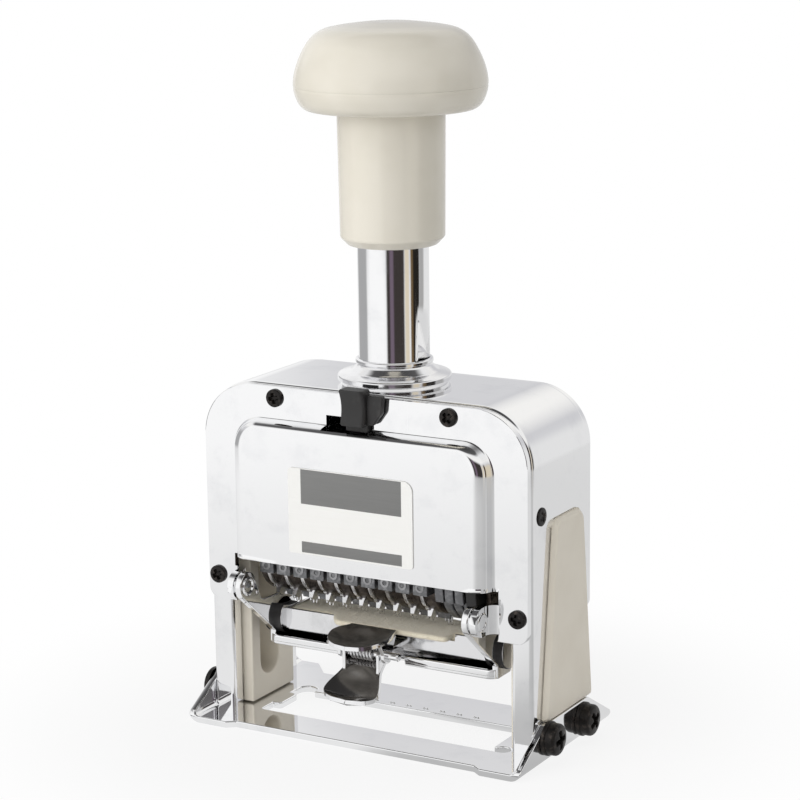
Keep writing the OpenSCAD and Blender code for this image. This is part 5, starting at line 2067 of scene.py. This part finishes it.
@dataclass
class FingerLevers(Assembly):
    """Dished finger plate over a sprung release lever, on one pin."""

    x: float = -0.9
    neck_y: float = -9.5
    plate_z: float = 25.3
    tilt: float = 6.0
    pivot: tuple = (-13.8, 20.5)
    slant: float = 40.0
    sheet: float = 0.9
    spoon_reach: float = 13.1
    lever_reach: float = 13.75
    spring_turns: int = 7
    spring_r: float = 1.45
    wire: float = 0.3

    def pressed(
        self, name: str, x: Array, along: Array, rise: Array, foot: Point, slope: float,
        facing: Point,
    ) -> Piece:
        """A pressed sheet with its wall and rolled edges.

        Args:
            name: its name.
            x: place of each grid point across the sheet.
            along: place along the sheet's slope, from its foot.
            rise: height over the slope.
            foot: (y, z) where the slope starts.
            slope: the slope, in degrees.
            facing: direction that the outside looks along.

        Returns:
            The piece.
        """
        y, z = spun(along, rise, slope)
        points = Axis.X.place(foot[0] + y, foot[1] + z, self.x + x)
        piece = Shape().grid(points).build(name, 60, facing)
        # The wall's cut edges take the sheet's second material, a lighter painted highlight.
        return round_edges(thicken(piece, self.sheet, 1), 0.3, 3, 50)

    def spoon(self) -> Piece:
        """Upper plate: half width over its length, dished, with its front rolled up.

        Point (t, u) lies t along the plate and u * width(t) across it; the dish lifts it by
        depth * u^2, and the front by the fourth power of t.

        Returns:
            The piece.
        """
        t = np.linspace(0, 1, 33)[:, None]
        flare = 5.6 + 1.9 * ease(t, -0.15, 0.5)
        tip = np.maximum(0, 1 - np.clip((t - 0.36) / 0.64, 0, 1) ** 2.3) ** (1 / 2.3)
        width = np.maximum(flare * tip, 0.02)
        u = np.linspace(-1, 1, 25)[None]
        x = u * width
        rise = 0.6 * (x / 7.4) ** 2 - 0.8 * np.sin(math.pi * np.clip(t * 1.02, 0, 1)) * (1 - u**2)
        rise = rise * ease(t, 0, 0.3) + 0.35 * t**4
        foot = (self.neck_y, self.plate_z)
        along = -self.spoon_reach * t
        return self.pressed("finger_spoon", x, along, rise, foot, self.tilt, (0, 0, 1))

    def bracket(self) -> Piece:
        """Neck under the felt, riser and the two ears that carry the pin.

        Returns:
            The piece.
        """
        shape = Shape()
        x, y, z = self.x, self.neck_y, self.plate_z
        side = [
            (-3.0, 20.0), (-3.0, 20.9), (y + 0.02, 20.9), (y + 0.02, z - 0.45),
            (y - 0.9, z - 0.45), (y - 0.9, 20.0),
        ]
        shape.plate(side, [0.1, 0.1, 0.1, 0.1, 0.1, 0.5], x - 4.6, x + 4.6, Axis.X, 0.1)
        p, q = self.pivot
        ear = [
            (p - 1.9, q - 1.9), (p + 1.9, q - 1.9), (p + 1.9, q + 0.5), (y - 0.6, z - 0.9),
            (p - 3.5, z - 1.35), (p - 1.9, q + 0.5),
        ]
        for low in (x - 6.2, x + 5.2):
            shape.plate(ear, [1.85, 1.85, 0.5, 0.2, 0.3, 0.5], low, low + 1, Axis.X, 0.2)
        return weigh(shape.build("finger_bracket", 40))

    def lever(self) -> Piece:
        """Lower lever: a neck that flares to a broad round end, hollow like a spoon.

        Returns:
            The piece.
        """
        t = np.linspace(0, 1, 37)[:, None]
        flare = 4.8 + 2.1 * ease(t, 0.3, 0.82)
        tip = np.sqrt(np.maximum(0, 1 - np.clip((t - 0.8) / 0.2, 0, 1) ** 2.6))
        width = np.maximum(flare * tip, 0.02)
        u = np.linspace(-1, 1, 25)[None]
        dish = -0.9 * ease(t, 0.25, 0.6) * (1 - 0.25 * t) * (1 - u**2) + 0.35 * ease(t, 0.85, 1)
        level = -1.9 + 0.5 * ease(t, 0.3, 0.9) + dish
        along = 1.4 - self.lever_reach * t
        facing = (0, -0.6, 0.8)
        return self.pressed(
            "release_lever_dished", u * width, along, level, self.pivot, self.slant, facing
        )

    def lever_ears(self) -> Piece:
        """Two ears folded up from the lever's neck, turned with its slant.

        Returns:
            The piece.
        """
        shape = Shape()
        flat = np.array(
            [(-4.4, -2.0), (1.4, -2.0), (1.7, 0.6), (1.2, 1.55), (-1.2, 1.55), (-3.2, -0.9)]
        )
        ear = np.array(self.pivot) + np.stack(spun(flat[:, 0], flat[:, 1], self.slant), 1)
        for low in (self.x - 4.8, self.x + 4.0):
            shape.plate(ear, [0.2, 0.2, 0.9, 0.9, 0.9, 0.9], low, low + 0.8, Axis.X, 0.18)
        return weigh(shape.build("release_lever_ears", 40))

    def pin(self) -> Piece:
        """Pin with peened, faintly domed ends.

        Returns:
            The piece.
        """
        corners = [(0, -7.8), (0.75, -7.75), (0.95, -7.4), (0.9, -7.0), (0.9, 7.6), (1.0, 7.9),
                   (0.85, 8.15), (0, 8.3)]
        line, _ = trace(corners, [0.1, 0.15, 0.1, 0.1, 0.15, 0.1], 4, guard=0.02)
        return Shape().lathe(line, Axis.X, self.pivot, 24).build("lever_pin_peened", 50)

    def spring(self) -> Piece:
        """Torsion spring: a close helix round the pin, with a leg down each lever.

        Returns:
            The piece.
        """
        s = np.linspace(0, 1, self.spring_turns * 20)
        a = 2 * math.pi * self.spring_turns * s + 0.6
        (p, q), r = self.pivot, self.spring_r
        coil = Axis.X.place(p + r * np.cos(a), q + r * np.sin(a), self.x - 3.1 + 5.9 * s)
        start, end = coil[0], coil[-1]
        leg = np.linspace(0, 1, 12)[::-1, None]
        down = start + leg * np.array([-0.4, -2.3, -1.5]) + np.sin(leg * math.pi) * [0, -0.3, 0.5]
        up = end + np.linspace(0, 1, 8)[1:, None] * np.array([0.2, 1.2, 1.3])
        path = np.concatenate([down[:-1], coil, up])
        return Shape().tube(path, self.wire, 10).build("lever_spring_wire", 60)

    def build(self, shop: Workshop) -> None:
        """Every piece of the finger levers."""
        # The spoon's and the lever's cut edges take this lighter chrome: a painted highlight along
        # their rims.
        edge = shop.material(SCUFFED_AND_RIM_HIGHLIGHT_CHROME)
        spoon = shop.swap(self.spoon(), "finger_plate", WORN_NICKEL)
        spoon.data.materials.append(edge)
        shop.put(self.bracket(), "finger_plate", CHROME)
        lever = shop.swap(self.lever(), "release_lever", LEVER_CHROME_PAINTED_DARK)
        lever.data.materials.append(edge)
        shop.put(self.lever_ears(), "release_lever", CHROME)
        shop.swap(self.pin(), "lever_pin", CALM_CHROME)
        shop.swap(self.spring(), "lever_spring", BRIGHT_STEEL)


@dataclass
class Selector(Assembly):
    """Action lever on the back."""

    def build(self, shop: Workshop) -> None:
        """Rounded copies of the lever and its pivot."""
        shop.refine(BLACK, 0.3, "action_lever", segments=3, turn=40)
        shop.refine(STEEL, 0.15, "action_pivot", turn=40)


# ---------------------------------------------------------------- studio


@dataclass(frozen=True)
class Card:
    """A dark or tinted card that polished metal mirrors, by its place round the object."""

    azimuth: float
    half: float
    soft: float
    tone: tuple
    low: float = -50.0
    high: float = 6.0


@dataclass
class Studio:
    """White room, two soft boxes, cards for the chrome, a pale floor and the camera."""

    lens: float = 114.36
    place: tuple = (279.45, -485.22, 200.14)
    yaw: float = 29.825
    pitch: float = 12.485
    roll: float = -0.77
    fill: float = 0.36
    front: float = 1.15
    aim: float = 0.08
    paper: float = 0.34
    floor_r: float = 420.0
    floor_z: float = -0.06
    cards: tuple = (
        Card(-116, 20, 24, (1.0, 1.0, 1.0), high=30),
        Card(-54, 25, 7, (0.045, 0.038, 0.036), high=16),
        Card(-66, 3, 6, (0.16, 0.12, 0.16), high=16),
        Card(-16, 4, 6, (0.72, 0.64, 0.5), high=12),
        Card(3, 4, 5, (0.15, 0.1, 0.05), high=14),
        Card(18, 10, 5, (0.018, 0.016, 0.014), high=14),
        Card(44, 10, 6, (0.4, 0.395, 0.39), high=10),
        Card(84, 26, 10, (0.8, 0.8, 0.8), high=4),
        Card(146, 20, 6, (1.0, 1.0, 1.0), low=4, high=30),
        Card(176, 24, 8, (0.4, 0.4, 0.405), high=3),
    )

    @staticmethod
    def stand(
        data: Union[bpy.types.Camera, bpy.types.Light], x: Array, y: Array, z: Array, place: Array
    ) -> Piece:
        """Put up a camera or a lamp.

        Args:
            data: the camera or the lamp.
            x: direction of its own X axis; y and z are those of the other two.
            y: see x.
            z: see x.
            place: where it stands, in metres.

        Returns:
            The object.
        """
        matrix = np.eye(4)
        matrix[:3] = np.stack([x, y, z, place], 1)
        thing = bpy.data.objects.new(data.name, data)
        thing.matrix_world = Matrix(matrix.tolist())
        bpy.context.scene.collection.objects.link(thing)
        return thing

    def camera(self) -> None:
        """Camera at its measured place, turned by yaw, pitch and roll."""
        y, p, r = (math.radians(v) for v in (self.yaw, self.pitch, self.roll))
        ahead = np.array([-math.sin(y) * math.cos(p), math.cos(y) * math.cos(p), -math.sin(p)])
        right = np.array([math.cos(y), math.sin(y), 0])
        up = np.cross(right, ahead)
        x = math.cos(r) * right + math.sin(r) * up
        z = -math.sin(r) * right + math.cos(r) * up
        data = bpy.data.cameras.new("camera")
        data.lens = self.lens
        data.sensor_width = 36.0
        data.clip_start, data.clip_end = 0.01, 20.0
        place = np.array(self.place) * MM
        bpy.context.scene.camera = self.stand(data, x, z, -ahead, place)

    def lamp(
        self, name: str, azimuth: float, height: float, away: float, size: float, light: float
    ) -> None:
        """Soft box that looks at the object.

        Args:
            name: its name.
            azimuth: direction from the object, in degrees from +X towards +Y.
            height: elevation in degrees.
            away: distance in metres.
            size: edge in metres.
            light: radiance, where 1 is white; the power is pi * size^2 times it.
        """
        data = bpy.data.lights.new(name, "AREA")
        data.shape = "SQUARE"
        data.size = size
        data.energy = light * math.pi * size * size
        a, e = math.radians(azimuth), math.radians(height)
        back = np.array([math.cos(a) * math.cos(e), math.sin(a) * math.cos(e), math.sin(e)])
        side = unit(np.cross([0, 0, 1.0], back))
        place = back * away + np.array([0, 0, self.aim])
        lamp = self.stand(data, side, np.cross(back, side), back, place)
        lamp.visible_camera = False
        lamp.visible_glossy = False

    def world(self) -> None:
        """White for the camera, a room for mirrors, and a fill that is brighter in front.

        The room's tone is a ramp over height with each card's tone laid over it; the fill is
        what matt surfaces receive, raised low down on the side that the name plate faces.
        """
        world = bpy.data.worlds.new("studio")
        bpy.context.scene.world = world
        graph = Graph(world)
        x, y, z = graph.parts(graph.value("ShaderNodeTexCoord", output="Generated"))
        degrees = 180 / math.pi
        height = graph.math("ARCSINE", z) * degrees
        stops = (
            (0.0, (0.75, 0.75, 0.75)), (0.44, (0.86, 0.86, 0.86)), (0.52, (0.7, 0.7, 0.715)),
            (0.6, (0.64, 0.64, 0.66)), (0.66, (0.95, 0.94, 0.92)), (0.76, (0.9, 0.9, 0.9)),
            (0.82, (0.1, 0.098, 0.1)), (1.0, (0.05, 0.05, 0.05)),
        )
        room = graph.value("ShaderNodeValToRGB", {"stops": stops}, {0: height / 180 + 0.5})
        for card in self.cards:
            a = math.radians(card.azimuth)
            ahead = x * math.cos(a) + y * math.sin(a)
            aside = y * math.cos(a) - x * math.sin(a)
            off = graph.math("ARCTAN2", aside, ahead) * degrees
            tall = height.near((card.low + card.high) / 2, (card.high - card.low) / 2, 11)
            room = graph.blend(off.near(0, card.half, card.soft) * tall, room, card.tone)
        off = graph.math("ARCTAN2", x, y * -1) * degrees
        front = height.near(8, 14, 14) * off.near(-26, 46, 30)
        fill = graph.blend(front, (self.fill,) * 3, (self.front,) * 3)
        tone = graph.blend(graph.ray("Glossy"), fill, room)
        seen = graph.math("MAXIMUM", graph.ray("Camera"), graph.ray("Transmission"))
        tone = graph.blend(seen, tone, WHITE)
        background = graph.value("ShaderNodeBackground", None, {"Color": tone, "Strength": 1.0})
        graph.node("ShaderNodeOutputWorld", None, {0: background})

    @staticmethod
    def mix(graph: Graph, factor: Signal, first: Signal, second: Signal) -> Signal:
        """Shader that goes from first to second as factor goes from 0 to 1."""
        return graph.value("ShaderNodeMixShader", None, {0: factor, 1: first, 2: second})

    def floor(self) -> None:
        """Round pale floor that keeps the shadow and fades into the white backdrop.

        Mirrors see a glowing sheet of paper on it that ends a hand's length from the machine, with
        painted shade:
        darker near the machine and towards the back right, and a painted dark patch towards the
        front right.
        """
        r = np.linspace(0, self.floor_r, 8)
        shape = Shape().lathe(np.stack([r, np.full(8, self.floor_z)], 1), steps=64)
        piece = shape.build("floor", 60, (0, 0, 1))
        material = bpy.data.materials.new("floor_paper")
        graph = Graph(material)
        x, y, _ = graph.parts(graph.place())
        away = graph.math("SQRT", x * x + y * y)
        fibre = graph.blend(graph.noise(3, 3, 0.6), (0.93, 0.93, 0.93), (0.9, 0.9, 0.9))
        paper = graph.value("ShaderNodeBsdfDiffuse", None, {"Color": fibre})
        glow = graph.value("ShaderNodeEmission", None, {"Color": (*WHITE, 1), "Strength": 1.0})
        fade = graph.ray("Camera") * (0.84 + 0.16 * away.step(0.045, 0.12))
        mixed = self.mix(graph, fade, paper, glow)
        reach = graph.math("MAXIMUM", away, 0.001)
        # Painted shade on the mirrored sheet: darker near the machine and towards the back right.
        turned = 0.5 - (x * 0.5 + y * 0.866) / reach * 0.5
        # Painted dark patch on the mirrored sheet, towards the front right.
        dark = ((x * 0.788 - y * 0.616) / reach).step(0.55, 0.95)
        level = 0.71 + turned * (0.13 + 0.14 * away.step(0.1, 0.33)) - 0.27 * dark
        tone = graph.blend(level, BLANK, WHITE)
        sheet = graph.value("ShaderNodeEmission", None, {"Color": tone, "Strength": 1.0})
        edge = away.step(self.paper - 0.09, self.paper + 0.06)
        seen = self.mix(graph, edge, sheet, graph.value("ShaderNodeBsdfTransparent"))
        mixed = self.mix(graph, graph.ray("Glossy"), mixed, seen)
        graph.node("ShaderNodeOutputMaterial", None, {0: mixed})
        piece.data.materials.append(material)

    def build(self) -> None:
        """The whole studio."""
        bpy.context.scene.view_settings.view_transform = "Standard"
        self.camera()
        self.lamp("key_box", -108, 33, 1.0, 1.2, 1.16)
        self.lamp("rear_box", 42, 30, 1.0, 0.7, 1.1)
        self.world()
        self.floor()


def main() -> None:
    """Build the studio and every sub-assembly in order."""
    logging.basicConfig(level=logging.INFO, format="%(message)s")
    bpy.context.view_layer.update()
    shop = Workshop(frame["record"], frame["nodes"])
    Studio().build()
    for assembly in (
        FrameBand(), Cover(), NamePlate(), Screws(), Base(), Handle(), Lock(), NumberWheels(),
        Head(), InkTray(), FingerLevers(), Selector(),
    ):
        log.info("assembly %s", type(assembly).__name__)
        assembly.build(shop)


if __name__ == "__main__":
    main()
